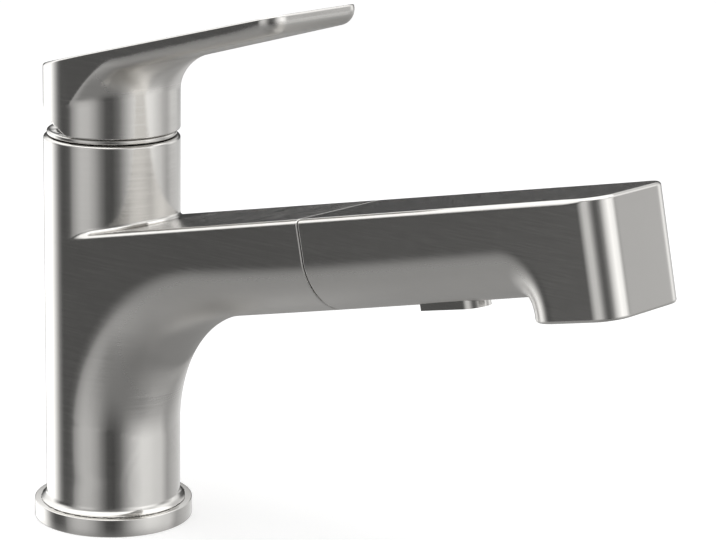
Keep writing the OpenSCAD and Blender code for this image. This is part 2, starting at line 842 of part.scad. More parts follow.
module dock_collar() color("dimgray")
    arm_frame()
        difference() {
            union() {
                rod_s(dock_r, collar_s, flange_s + over, 0, dock_n);
                intersection() {
                    arm_bar(shell_s, flange_s + wand_wall, wand_wall + seat);
                    rod_s(2 * dock_r, shell_s, flange_s + wand_wall, 0, dock_n);
                }
            }
            rod_s(inlet_out_r, collar_s - over, flange_s + 2 * wand_wall, 0, dock_n);
        }

module inlet_connector() color("goldenrod")
    arm_frame()
        difference() {
            union() {
                rod_s(inlet_out_r - run, inlet_s, flange_s + wand_wall, 0, dock_n);
                rod_s(way_r + 2 * way_wall, flange_s + wand_wall - over, inlet_end_s, 0, dock_n);
            }
            rod_s(inlet_r, inlet_s - over, inlet_s + inlet_len, 0, dock_n);
            rod_s(inlet_r + loose, inlet_s + inlet_len - washer_h - loose, inlet_s + inlet_len,
                  0, dock_n);
            rod_s(valve_r, inlet_s, inlet_end_s + over, 0, dock_n);
            rod_s(way_r, inlet_end_s - 2 * way_wall, inlet_end_s + over, 0, dock_n);
        }

module filter_washer() color("black")
    arm_frame()
        difference() {
            rod_s(inlet_r + loose - run, inlet_s + inlet_len - washer_h, inlet_s + inlet_len,
                  0, dock_n);
            rod_s(valve_r - washer_h / 2, inlet_s, inlet_s + inlet_len + over, 0, dock_n);
        }

module check_valve() color("royalblue")
    arm_frame()
        difference() {
            rod_s(valve_r - run, inlet_s + inlet_len, inlet_end_s - 2 * way_wall - run, 0, dock_n);
            rod_s(valve_r - way_wall, inlet_s, inlet_end_s - 4 * way_wall, 0, dock_n);
            for (i = [0:2])
                translate([0, 0, dock_n]) rotate([120 * i, 0, 0])
                    rod_s(way_wall / 2, inlet_end_s - 4 * way_wall - over, inlet_end_s, 0, valve_r / 2);
        }

module waterway_tube() color("whitesmoke")
    arm_frame()
        difference() {
            rod_s(way_r - run, inlet_end_s - 2 * way_wall, block_s + 2 * way_wall, 0, dock_n);
            rod_s(way_r - way_wall, inlet_s, nose_s + nose_len, 0, dock_n);
        }

module diverter_body() color("dimgray")
    arm_frame()
        difference() {
            union() {
                translate([block_s, -block_half, block_n])
                    cube([spray_s + block_half - block_s, 2 * block_half, block_top_n - block_n]);
                translate([spray_s, 0, block_n]) cylinder(r = block_half + rim_edge, h = chamber_h);
            }
            rod_s(way_r, block_s - over, block_s + 2 * way_wall, 0, dock_n);
            rod_s(way_r - way_wall, block_s, spray_s + way_wall, 0, dock_n);
            rod_s(spool_r + run, block_s - over, spool_s + spool_len + spool_room, 0, spool_n);
            translate([spray_s, 0, block_n - over]) cylinder(r = way_r - way_wall, h = dock_n - block_n);
        }

module spray_former() color("gray")
    arm_frame()
        difference() {
            translate([spray_s, 0, block_n - chamber_h])
                cylinder(r = spray_r - seat, h = chamber_h - run);
            translate([spray_s, 0, block_n - chamber_h - over])
                cylinder(r = aerator_r, h = chamber_h / 2 + over);
            translate([spray_s, 0, block_n - chamber_h])
                cylinder(r = way_r - way_wall, h = chamber_h + over);
            nozzle_places(nozzle_ring_r) translate([0, 0, block_n - chamber_h - over])
                cylinder(r = nozzle_r, h = chamber_h + 2 * over, $fn = 24);
        }

// The places of the spray nozzles round the aerator
module nozzle_places(r) {
    for (i = [0:nozzle_count - 1])
        translate([spray_s, 0, 0]) rotate([0, 0, 360 / nozzle_count * i])
            translate([r, 0, 0]) children();
}

pad_h = 0.9;
pad_n = block_n - chamber_h - pad_h;
pad_half = 2.2;
nozzle_out = 0.5;

module spray_face() color("silver")
    arm_frame()
        difference() {
            translate([spray_s, 0, face_n])
                cylinder(r = spray_r - seat, h = block_n - chamber_h - run - face_n);
            translate([spray_s, 0, face_n - over]) cylinder(r = aerator_r, h = nose_depth);
            translate([spray_s, 0, 0]) tube(nozzle_ring_r + pad_half, nozzle_ring_r - pad_half,
                                            pad_n, block_n);
            nozzle_places(nozzle_ring_r) translate([0, 0, face_n - over])
                cylinder(r = nozzle_r + nozzle_wall + seat, h = nose_depth / 2, $fn = 24);
        }

module nozzle_pad() color("dimgray")
    arm_frame()
        difference() {
            union() {
                translate([spray_s, 0, 0])
                    tube(nozzle_ring_r + pad_half - run, nozzle_ring_r - pad_half + run,
                         pad_n + run, pad_n + pad_h - run);
                nozzle_places(nozzle_ring_r) translate([0, 0, face_n - nozzle_out])
                    cylinder(r = nozzle_r + nozzle_wall, h = pad_n + pad_h / 2 - face_n + nozzle_out,
                             $fn = 24);
            }
            nozzle_places(nozzle_ring_r) translate([0, 0, face_n - over])
                cylinder(r = nozzle_bore_r, h = nose_depth / 2, $fn = 24);
        }

aerator_wall = 1.2;
aerator_top_n = block_n - chamber_h / 2;
aerator_out = 0.4;
aerator_n = face_n - aerator_out;
seal_h = 1;

module aerator_housing() color("silver")
    arm_frame()
        translate([spray_s, 0, 0])
            union() {
                tube(aerator_r - run, aerator_r - aerator_wall, aerator_n, aerator_top_n - seal_h);
                tube(aerator_r - aerator_wall + run, aerator_r - 2 * aerator_wall, aerator_n,
                     aerator_n + aerator_wall / 2);
            }

module aerator_insert() color("lightgray")
    arm_frame()
        translate([spray_s, 0, 0])
            difference() {
                translate([0, 0, aerator_n + aerator_wall / 2])
                    cylinder(r = aerator_r - aerator_wall - run,
                             h = aerator_top_n - seal_h - aerator_n - aerator_wall / 2);
                for (ring = [1, 2, 3]) for (i = [0:6 * ring - 1])
                    rotate([0, 0, 60 / ring * i]) translate([ring * mesh_pitch, 0, aerator_n])
                        cylinder(r = mesh_r, h = nose_depth / 2, $fn = 6);
                translate([0, 0, aerator_n]) cylinder(r = mesh_r, h = nose_depth / 2, $fn = 6);
            }

mesh_pitch = 2.2;
mesh_r = 0.9;

module aerator_seal() color("black")
    arm_frame()
        translate([spray_s, 0, 0])
            tube(aerator_r - run, aerator_r - 2 * aerator_wall, aerator_top_n - seal_h, aerator_top_n);

// Spray button, its pin, its spring and the spool that it moves

module button_pin() color("gray")
    arm_frame()
        translate([hinge_s, -ear_half - ear_w, hinge_n]) rotate([-90, 0, 0])
            cylinder(r = hinge_r, h = 2 * (ear_half + ear_w));

button_proud = 1.78;
button_n = -arm_under(button_rear_s) - button_proud;
shoulder_n = -arm_under(button_rear_s) + wand_wall + loose + slot_gap + loose;
shoulder_top_n = shoulder_n + shoulder_h;
shoulder_half = ear_half - loose;
knuckle_w = 2.6;
wedge = 3;
coil_wire = 0.6;
coil_reach = 6;

module spray_button() color("silver")
    arm_frame()
        difference() {
            union() {
                // Tongue that shows under the wand
                translate([0, 0, button_n]) linear_extrude(height = shoulder_top_n - button_n)
                    button_plan(0);
                // Shoulders that stop it from dropping out
                translate([button_rear_s, -shoulder_half, shoulder_n])
                    cube([shoulder_len, 2 * shoulder_half, shoulder_h]);
                // Wedge that drives the spool
                translate([button_rear_s + shoulder_len, knuckle_w, shoulder_n])
                    rotate([90, 0, 0]) linear_extrude(height = 2 * knuckle_w)
                        polygon([[-over, 0], [wedge, 0], [0, wedge], [-over, wedge]]);
                // Knuckles on the pin
                for (side = [0, 1]) mirror([0, side, 0]) {
                    translate([hinge_s, shoulder_half - knuckle_w, hinge_n])
                        rotate([-90, 0, 0]) cylinder(r = 2 * hinge_r, h = knuckle_w);
                    translate([hinge_s, shoulder_half - knuckle_w, shoulder_n])
                        cube([button_rear_s - hinge_s + over, knuckle_w, shoulder_h]);
                }
            }
            translate([hinge_s, -2 * ear_half, hinge_n]) rotate([-90, 0, 0])
                cylinder(r = hinge_r + run, h = 4 * ear_half);
        }

module button_spring() color("gray")
    arm_frame()
        union() {
            translate([hinge_s, -knuckle_w, hinge_n]) rotate([-90, 0, 0])
                difference() {
                    cylinder(r = hinge_r + run + coil_wire, h = 2 * knuckle_w);
                    translate([0, 0, -over]) cylinder(r = hinge_r + run, h = 2 * (knuckle_w + over));
                }
            // Leg on the button, and leg that pushes against the waterway
            rod_s(coil_wire / 2, hinge_s + hinge_r + run + coil_wire / 2, button_rear_s + coil_reach,
                  knuckle_w - coil_wire, shoulder_top_n + coil_wire / 2);
            rod_s(coil_wire / 2, hinge_s - coil_reach, hinge_s, coil_wire - knuckle_w,
                  hinge_n + hinge_r + run + coil_wire / 2);
        }

module diverter_spool() color("ivory")
    arm_frame()
        difference() {
            rod_s(spool_r, spool_s, spool_s + spool_len, 0, spool_n);
            // Sloping rear end that the button's wedge meets
            translate([spool_s, spool_r + over, shoulder_n])
                rotate([90, 0, 0]) linear_extrude(height = 2 * (spool_r + over))
                    polygon([[-over, -wedge], [wedge, -wedge], [wedge, 0], [0, wedge], [-over, wedge]]);
            // Waist between the two lands
            translate([spray_s - way_r, 0, spool_n]) rotate([0, 90, 0])
                tube(spool_r + over, spool_r / 2, 0, way_r);
        }

base_ring();
base_gasket();
shank();
valve_body();
hot_tube();
cold_tube();
outlet_tube();
lower_glide_ring();
upper_glide_ring();
swivel_stop();
cartridge_housing();
cartridge_seals();
fixed_disc();
cartridge_nut();
trim_ring();
faucet_body();
spout_arm();
dock_sleeve();
wand_shell();
dock_collar();
inlet_connector();
filter_washer();
check_valve();
waterway_tube();
diverter_body();
spray_former();
spray_face();
nozzle_pad();
aerator_housing();
aerator_insert();
aerator_seal();
button_pin();
spray_button();
button_spring();
diverter_spool();
stem_carrier();
pivot_pin();
moving_disc();
disc_driver();
lever_handle();
lever_stem();
set_screw();
screw_plug();
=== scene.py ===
import json
import math
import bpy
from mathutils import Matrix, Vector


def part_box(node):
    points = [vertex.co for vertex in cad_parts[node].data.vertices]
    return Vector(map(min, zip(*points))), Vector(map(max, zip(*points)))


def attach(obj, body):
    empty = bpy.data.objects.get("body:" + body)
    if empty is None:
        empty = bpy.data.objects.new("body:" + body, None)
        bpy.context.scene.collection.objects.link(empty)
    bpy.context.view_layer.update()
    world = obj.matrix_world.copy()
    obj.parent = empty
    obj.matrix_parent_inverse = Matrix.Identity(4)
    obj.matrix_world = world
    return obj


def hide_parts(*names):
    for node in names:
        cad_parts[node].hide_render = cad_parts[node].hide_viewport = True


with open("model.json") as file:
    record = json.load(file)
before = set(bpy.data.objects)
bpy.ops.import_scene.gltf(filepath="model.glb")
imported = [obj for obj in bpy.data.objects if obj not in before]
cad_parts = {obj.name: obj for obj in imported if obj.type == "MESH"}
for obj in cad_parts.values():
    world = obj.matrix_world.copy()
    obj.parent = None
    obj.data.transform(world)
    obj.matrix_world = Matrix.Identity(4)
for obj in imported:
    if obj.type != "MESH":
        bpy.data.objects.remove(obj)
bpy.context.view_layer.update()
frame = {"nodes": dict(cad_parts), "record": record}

from types import SimpleNamespace

import bpy
import numpy as np
from bpy.props import FloatProperty, FloatVectorProperty, IntProperty, PointerProperty
from mathutils import Matrix

# Pull-out kitchen faucet: the visible skins, rings and finishes, over the packed assembly.
# The shapes are worked out in millimetres; the meshes are in metres.

bl_info = {
    "name": "Pull-out Kitchen Faucet",
    "version": (1, 0, 0),
    "blender": (4, 5, 0),
    "location": "3D View > Sidebar > Faucet",
    "description": "Satin nickel faucet with a pull-out wand, built round its assembly",
    "category": "Add Mesh",
}

MM = 1000  # millimetres in a metre
TINY = 1e-9  # keeps a length that is divided by off zero


def length(name, about, value):
    """A size that a user may change, given in millimetres and kept in metres."""
    return FloatProperty(name=name, description=about, default=value / MM, min=0.0,
                         unit="LENGTH", subtype="DISTANCE")


def angle(name, about, value):
    """An angle that a user may change, given in degrees and kept in radians."""
    return FloatProperty(name=name, description=about, default=math.radians(value),
                         unit="ROTATION", subtype="ANGLE")


def share(name, about, value, low=0.0, high=1.0):
    """A share or strength that a user may change."""
    return FloatProperty(name=name, description=about, default=value, min=low, max=high,
                         subtype="FACTOR")


def colour(name, about, value):
    """A colour that a user may change, in linear red, green and blue."""
    return FloatVectorProperty(name=name, description=about, default=value, size=3,
                               min=0.0, max=1.0, subtype="COLOR")


class FAUCET_PG_body(bpy.types.PropertyGroup):
    """Sizes of the column and the arm"""
    column_radius: length("Column radius", "Outer radius of the round column", 24)
    column_wall: length("Column wall", "Wall of the column", 3)
    foot_height: length("Foot height", "Lower edge of the column above the deck", 6.56)
    rim_height: length("Rim height", "Top rim of the column above the deck", 139.6)
    rim_edge: length("Rim edge", "Radius of the rim's outer edge", 1.0)
    arm_tilt: angle("Arm tilt", "Upward tilt of the arm", 12.2)
    arm_top: length("Arm top", "Height of the arm's top plane on the column's axis", 106.5)
    arm_depth: length("Arm depth", "Depth of the arm, projected back to the axis", 34.6)
    side_taper: angle("Side taper", "Taper of each side face in plan", 1.3)
    under_taper: angle("Underside taper", "Rise of the underside against the top plane", 1.0)
    under_round: length("Underside radius", "Radius of the rounded underside", 19)
    top_edge: length("Top edge", "Radius of the two long top edges", 2.0)
    blend_radius: length("Blend radius", "Blend from the column into the arm's underside", 54.5)
    crease: length("Crease", "Fillet where the arm's top meets the column", 1.8)
    foot_flare: length("Foot flare", "Hollow flare of the column's foot", 3)
    foot_lip: length("Foot lip", "Height of the flare's outer edge", 0.06)
    arm_wall: length("Arm wall", "Wall of the arm", 3)
    cavity_start: length("Cavity", "Distance along the arm to the start of its cavity", 6)
    bore_edge: length("Bore edge", "Radius of the edges of bore and cavity", 0.25)
    foot_edge: length("Foot edge", "Radius of the column's lower edge", 0.04)
    split_edge: length("Parting edge", "Radius of the edges at the parting line", 0.35)
    split: length("Parting line", "Distance along the arm to the parting line", 108.4)


class FAUCET_PG_wand(bpy.types.PropertyGroup):
    """Sizes of the pull-out wand"""
    split_gap: length("Parting gap", "Width of the gap at the parting line", 0.5)
    end: length("End face", "Distance along the arm to the wand's end face", 228.3)
    nose_length: length("Nose length", "Length of the spray nose", 36)
    nose_depth: length("Nose depth", "Depth of the nose below the top plane", 37.4)
    front_corner: length("Front corner", "Radius of the nose's front corners", 8.3)
    rear_corner: length("Rear corner", "Radius of the nose's rear corners", 13)
    nose_blend: length("Nose blend", "Blend between the underside and the nose", 5.5)
    nose_edge: length("Nose edge", "Radius of the nose's lower edges", 1.0)
    end_edge: length("End edge", "Radius of the top edge at the end face", 1.2)
    wall: length("Wall", "Wall of the wand's shell", 2.6)
    spray_radius: length("Spray opening", "Radius of the round opening in the nose", 15.6)
    spray_roof: length("Spray roof", "Roof of the opening below the top plane", 30)
    opening_edge: length("Opening edge", "Radius of the edges of opening and slot", 0.3)
    button_length: length("Button length", "Length of the spray button", 23.2)
    button_width: length("Button width", "Width of the spray button", 11.2)
    button_front: length("Button front", "Distance along the arm to the button's front", 165.2)
    button_gap: length("Button gap", "Gap round the button in its slot", 0.9)


class FAUCET_PG_handle(bpy.types.PropertyGroup):
    """Sizes of the handle and its lever"""
    tilt: angle("Lever tilt", "Upward tilt of the lever's top plane", 14.8)
    top: length("Lever top", "Height of the top plane on the column's axis", 169.1)
    reach: length("Lever length", "Distance along the lever to its end face", 98.8)
    thickness: length("Lever thickness", "Depth of the lever, projected back to the axis", 7.8)
    under_taper: angle("Lever underside taper", "Rise of the underside against the top", 1.0)
    low_edge: length("Lever underside radius", "Radius of the lever's two lower edges", 4.4)
    end_edge: length("Lever end radius", "Radius of the lower edge of the lever's end", 5.3)
    side_taper: angle("Lever taper", "Taper of each side in plan", 1.1)
    corner: length("Lever corner", "Radius of the end corners in plan", 7.1)
    blend: length("Lever blend", "Blend between the handle and the lever", 9.5)
    rear_edge: length("Rear top edge", "Radius of the top edge at the rear", 1.0)
    top_edge: length("Top edge", "Radius of the lever's top edges", 0.6)
    foot: length("Handle foot", "Lower edge of the handle above the deck", 142)
    foot_edge: length("Foot edge", "Radius of the handle's lower edge", 0.5)
    relief: angle("Rear relief", "Slope of the relief at the rear of the handle", 24)
    relief_start: length("Relief start", "Distance in front of the axis to the relief", 2)
    relief_edge: length("Relief edge", "Radius of the relief's edge", 0.4)
    hollow: length("Hollow radius", "Radius of the hollow over the cartridge's neck", 20.8)
    hollow_height: length("Hollow height", "Height of the hollow above the foot", 6)
    plug_height: length("Plug height", "Height of the set screw's plug", 157)
    plug_radius: length("Plug radius", "Radius of the set screw's plug", 4)
    plug_floor: length("Plug floor", "Distance behind the axis to the plug hole's floor", 21)
    opening_edge: length("Opening edge", "Radius of the edges of hollow and plug hole", 0.3)


class FAUCET_PG_rings(bpy.types.PropertyGroup):
    """Sizes of the deck ring and the trim ring"""
    deck_bore: length("Deck bore", "Radius of the deck ring's bore", 16.62)
    deck_lift: length("Deck lift", "Height of the deck ring's underside", 0.02)
    deck_low_edge: length("Deck low edge", "Radius of the deck ring's lower edge", 0.3)
    deck_edge: length("Deck edge", "Radius of the deck ring's top edge", 0.35)
    deck_land: length("Deck land", "Radius of the middle points of the deck ring's top", 24.6)
    recess: length("Recess", "Radius of the recess for the glide ring", 22.1)
    recess_depth: length("Recess depth", "Depth of the recess", 2.5)
    recess_bevel: length("Recess bevel", "Bevel of the recess's edge", 0.1)
    rim_gap: length("Rim gap", "Gap between the column's rim and the trim ring", 0.3)
    trim_edge: length("Trim edge", "Radius of the trim ring's outer edges", 0.6)
    trim_land: length("Trim land", "Width of the trim ring's edge outside its flat faces", 0.9)
    skirt_out: length("Skirt", "Outer radius of the trim ring's skirt", 20.7)
    skirt_in: length("Skirt bore", "Inner radius of the skirt", 19.6)
    skirt_bevel: length("Skirt bevel", "Bevel of the skirt's lower edge", 0.05)
    ledge: length("Ledge", "Radius of the ledge over the valve body", 17.6)
    ledge_height: length("Ledge height", "Height of the ledge above the seat", 0.85)
    trim_bore: length("Trim bore", "Radius of the trim ring's bore", 10.6)
    bore_edge: length("Bore edge", "Radius of the bore's top edge", 0.2)


class FAUCET_PG_finish(bpy.types.PropertyGroup):
    """Colours and finishes of the materials"""
    nickel: colour("Nickel", "Reflected colour of the satin nickel", (0.640, 0.628, 0.606))
    nickel_roughness: share("Satin", "Roughness of the satin nickel", 0.15)
    brushing: share("Brushing", "Depth of the brushed lines", 0.25)
    dull: share("Dull hollows", "Roughness that the hollows have on top of the satin", 0.22)
    stretch: share("Stretch", "How far highlights spread across the brushing", 0.85)
    brass: colour("Brass", "Reflected colour of the brass", (0.70, 0.50, 0.24))
    copper: colour("Copper", "Reflected colour of the copper tubes", (0.74, 0.38, 0.24))
    steel: colour("Steel", "Reflected colour of the steel pins", (0.50, 0.50, 0.51))
    ceramic: colour("Ceramic", "Colour of the ceramic discs", (0.78, 0.77, 0.73))
    white_plastic: colour("White plastic", "Colour of the acetal parts", (0.74, 0.73, 0.69))
    grey_plastic: colour("Grey plastic", "Colour of the grey parts", (0.11, 0.112, 0.118))
    blue_plastic: colour("Blue plastic", "Colour of the check valve", (0.035, 0.13, 0.42))
    rubber: colour("Rubber", "Colour of gaskets and seals", (0.022, 0.022, 0.023))
    nozzle_rubber: colour("Nozzle rubber", "Colour of the soft nozzles", (0.065, 0.066, 0.07))


class FAUCET_PG_studio(bpy.types.PropertyGroup):
    """Camera, floor and light"""
    lens: FloatProperty(name="Lens", description="Focal length in millimetres", default=141.36,
                        min=10.0)
    floor: colour("Floor", "Colour of the floor", (0.90, 0.90, 0.90))
    floor_radius: length("Floor radius", "Radius of the floor", 4000)
    floor_lift: share("Floor lift", "Light added to the floor, for the camera alone", 0.34)
    level: share("Level", "Level of the soft room light", 0.72, high=2.0)
    lamp: FloatProperty(name="Lamp", description="Power of the soft box overhead, in watts",
                        default=5.0, min=0.0, unit="POWER")
    lamp_size: length("Lamp size", "Side of the soft box overhead", 900)
    lamp_height: length("Lamp height", "Height of the soft box above the deck", 1300)
    lamp_shift: length("Lamp shift", "How far the soft box stands out to the front right", 250)
    turns: IntProperty(name="Segments", description="Segments round a ring", default=192, min=48)


GROUPS = (
    ("faucet_body", FAUCET_PG_body),
    ("faucet_wand", FAUCET_PG_wand),
    ("faucet_handle", FAUCET_PG_handle),
    ("faucet_rings", FAUCET_PG_rings),
    ("faucet_finish", FAUCET_PG_finish),
    ("faucet_studio", FAUCET_PG_studio),
)


def sizes(group):
    """A group's lengths in millimetres, and its angles and shares as they are."""
    out = SimpleNamespace()
    for name in group.__annotations__:
        value = getattr(group, name)
        is_length = group.bl_rna.properties[name].subtype == "DISTANCE"
        setattr(out, name, value * MM if is_length else value)
    return out


def smooth(low, high, x):
    """Goes from 0 at low to 1 at high with level ends: 3t^2 - 2t^3 of the clipped share t."""
    t = np.clip((x - low) / (high - low), 0, 1)
    return t * t * (3 - 2 * t)


def edge(a, b, r):
    """Inside both walls a and b (distances, negative inside). Where they meet they are joined by
    an arc: the larger of the two, but within r of both it is the distance from the arc's centre
    less r."""
    return np.minimum(-r, np.maximum(a, b)) + np.hypot(np.maximum(r + a, 0), np.maximum(r + b, 0))


def fillet(a, b, r):
    """Inside either wall a or b, with a hollow arc of radius r between them: the mirror of edge."""
    return np.maximum(r, np.minimum(a, b)) - np.hypot(np.maximum(r - a, 0), np.maximum(r - b, 0))


SAMPLES = 20001  # samples of the closeness along a line of stations


def near(place, closeness, way=1):
    """A stretch of close stations about a place. Its closeness is how far the centre lies past
    the place, its half width and its step; a way of -1 puts the centre before the place."""
    offset, half, step = closeness
    return place + offset * way, half, step


def stations(low, high, line, *close):
    """Stations from low to high, closer near given places. A line is how far they run past the
    form below and above, and their coarse step; a close stretch is (centre, half width, fine
    step), and its closeness fades out over three coarse steps. The stations are even steps of the
    summed closeness."""
    before, after, step = line
    x = np.linspace(low - before, high + after, SAMPLES)
    density = np.full_like(x, 1 / step)
    for centre, half, small in close:
        share_close = 1 - smooth(half, half + 3 * step, np.abs(x - centre))
        density = np.maximum(density, share_close / small)
    total = np.concatenate([[0], np.cumsum((density[1:] + density[:-1]) / 2 * np.diff(x))])
    count = int(math.ceil(total[-1]))
    return np.interp(np.linspace(0, total[-1], count + 1), total, x)


def slope(field, p, h):
    """A field's value and its slope at points p, from central differences of width h."""
    value = field(*p.T)
    parts = []
    for axis in range(3):
        step = np.zeros(3)
        step[axis] = h
        parts.append((field(*(p + step).T) - field(*(p - step).T)) / (2 * h))
    return value, np.stack(parts, axis=1)


# How the points of a skin are brought onto its form, in millimetres
NEWTON_STEPS = 5
NEWTON_WIDTH = 1e-3  # half width of the differences that give the slope
NEWTON_REACH = 0.5  # furthest move in one step
FLATTEST = 0.05  # least squared slope that is divided by
NORMAL_WIDTH = 0.02  # half width of the differences that give the normals


def skin(field, axes, place):
    """Closed skin of a form given as a field, negative inside. The field is read on a grid of
    stations carried into place. Every grid line that crosses the surface gives one quad between
    the four cells round it, each cell's point starts at the mean of its crossings, and a few
    Newton steps down the slope bring it onto the surface. Returns points, quads and normals."""
    grid = np.stack(place(*np.meshgrid(*axes, indexing="ij")), axis=-1)
    value = field(*np.moveaxis(grid, -1, 0))
    inside = value < 0
    quads, hits = [], []
    for a in range(3):
        b, c = (a + 1) % 3, (a + 2) % 3
        low = [slice(1, -1)] * 3
        low[a] = slice(0, -1)
        high = list(low)
        high[a] = slice(1, None)
        at = np.argwhere(inside[tuple(low)] != inside[tuple(high)])
        at[:, [b, c]] += 1
        up = at.copy()
        up[:, a] += 1
        f0, f1 = value[tuple(at.T)], value[tuple(up.T)]
        t = (f0 / (f0 - f1))[:, None]
        hit = grid[tuple(at.T)] * (1 - t) + grid[tuple(up.T)] * t
        eye = np.eye(3, dtype=int)
        cells = np.stack([at - eye[b] - eye[c], at - eye[c], at, at - eye[b]], axis=1)
        ids = np.ravel_multi_index(tuple(np.moveaxis(cells, -1, 0)), value.shape)
        ids[f0 > 0] = ids[f0 > 0][:, ::-1]
        quads.append(ids)
        hits.append(np.repeat(hit[:, None], 4, axis=1))
    quads = np.concatenate(quads)
    hits = np.concatenate(hits).reshape(-1, 3)
    _, index = np.unique(quads, return_inverse=True)
    index = index.ravel()
    count = np.bincount(index)
    points = np.stack([np.bincount(index, hits[:, k]) / count for k in range(3)], axis=1)
    for _ in range(NEWTON_STEPS):
        f, g = slope(field, points, NEWTON_WIDTH)
        move = f[:, None] * g / np.maximum((g * g).sum(axis=1), FLATTEST)[:, None]
        far = np.maximum(np.linalg.norm(move, axis=1), TINY)[:, None]
        points = points - move * np.minimum(1, NEWTON_REACH / far)
    _, g = slope(field, points, NORMAL_WIDTH)
    return points, index.reshape(-1, 4), unit(g)


def unit(vectors):
    """Vectors scaled to unit length."""
    return vectors / np.maximum(np.linalg.norm(vectors, axis=1), TINY)[:, None]


def arc(cx, cy, r, start, stop, count=6):
    """Points on an arc about (cx, cy), from start to stop in degrees."""
    t = np.radians(np.linspace(start, stop, count + 1))
    return np.stack([cx + r * np.cos(t), cy + r * np.sin(t)], axis=1)


def revolve(profile, turns):
    """A closed profile (radius, height) carried round the Z axis: point (i, j) is profile i turned
    to j equal steps of the circle. Returns points and quads, closed both ways."""
    t = np.arange(turns) * 2 * np.pi / turns
    r, z = profile[:, :1], profile[:, 1:]
    points = np.stack([r * np.cos(t), r * np.sin(t), z + 0 * t], axis=-1).reshape(-1, 3)
    n = len(profile)
    i, j = np.meshgrid(np.arange(n), np.arange(turns), indexing="ij")
    i1, j1 = (i + 1) % n, (j + 1) % turns
    quads = np.stack([i * turns + j, i * turns + j1, i1 * turns + j1, i1 * turns + j], axis=-1)
    return points, quads.reshape(-1, 4)


def put(name, points, quads, normals=None, grain=None, hollow=None):
    """Makes a mesh object from points in millimetres and quads, at the origin, smooth shaded. The
    normals are the surface's own where given; grain is the direction of the brushing, one vector
    a point; hollow is the share of dull polish that the hollows keep, one value a point."""
    mesh = bpy.data.meshes.new(name)
    mesh.vertices.add(len(points))
    mesh.vertices.foreach_set("co", (points / MM).astype(np.float32).ravel())
    mesh.loops.add(quads.size)
    mesh.loops.foreach_set("vertex_index", quads.astype(np.int32).ravel())
    mesh.polygons.add(len(quads))
    mesh.polygons.foreach_set("loop_start", np.arange(0, quads.size, 4, dtype=np.int32))
    mesh.update(calc_edges=True)
    mesh.validate()
    mesh.polygons.foreach_set("use_smooth", np.ones(len(mesh.polygons), dtype=bool))
    if grain is not None:
        layer = mesh.attributes.new("grain", "FLOAT_VECTOR", "POINT")
        layer.data.foreach_set("vector", grain.astype(np.float32).ravel())
    if hollow is not None:
        layer = mesh.attributes.new("hollow", "FLOAT", "POINT")
        layer.data.foreach_set("value", hollow.astype(np.float32))
    if normals is not None:
        mesh.normals_split_custom_set_from_vertices(normals)
    mesh.update()
    obj = bpy.data.objects.new(name, mesh)
    bpy.context.scene.collection.objects.link(obj)
    return obj


def around(points):
    """Brushing that runs round the Z axis: the direction at right angles to the radius."""
    return unit(np.stack([-points[:, 1], points[:, 0], 0 * points[:, 0]], axis=1))


def mixed(a, b, k):
    """Direction a where k is 0 and b where k is 1, scaled back to unit length."""
    return unit(a * (1 - k[:, None]) + b * k[:, None])


def arm_axes(m, x, z):
    """Distance out along the tilted arm, and height square to its top plane."""
    c, s = math.cos(m.arm_tilt), math.sin(m.arm_tilt)
    return x * c + (z - m.arm_top) * s, -x * s + (z - m.arm_top) * c


# Stretches over which the form of column and arm eases, in millimetres
UNDER_EASE = 10, 130  # out along the arm: the underside's radius
LENGTH_EASE = 20, 60  # out from the axis: level distance becomes distance along the arm
TAPER_EASE = -20, 35  # heights about the blend's centre: the sides' taper
CREASE_OUT = 2, 12  # out from the axis: the crease's radius
CREASE_UP = -6, -3  # heights about the arm's top plane: the same
END_EASE = -14, -4  # distances from the wand's end face: the top edge's radius


def under_radius(m, along):
    """Radius of the rounded underside: the half width at its root, easing to the arm's own."""
    half = m.column_radius - np.maximum(along, 0) * math.tan(m.side_taper)
    return half + (m.under_round - half) * smooth(*UNDER_EASE, along)


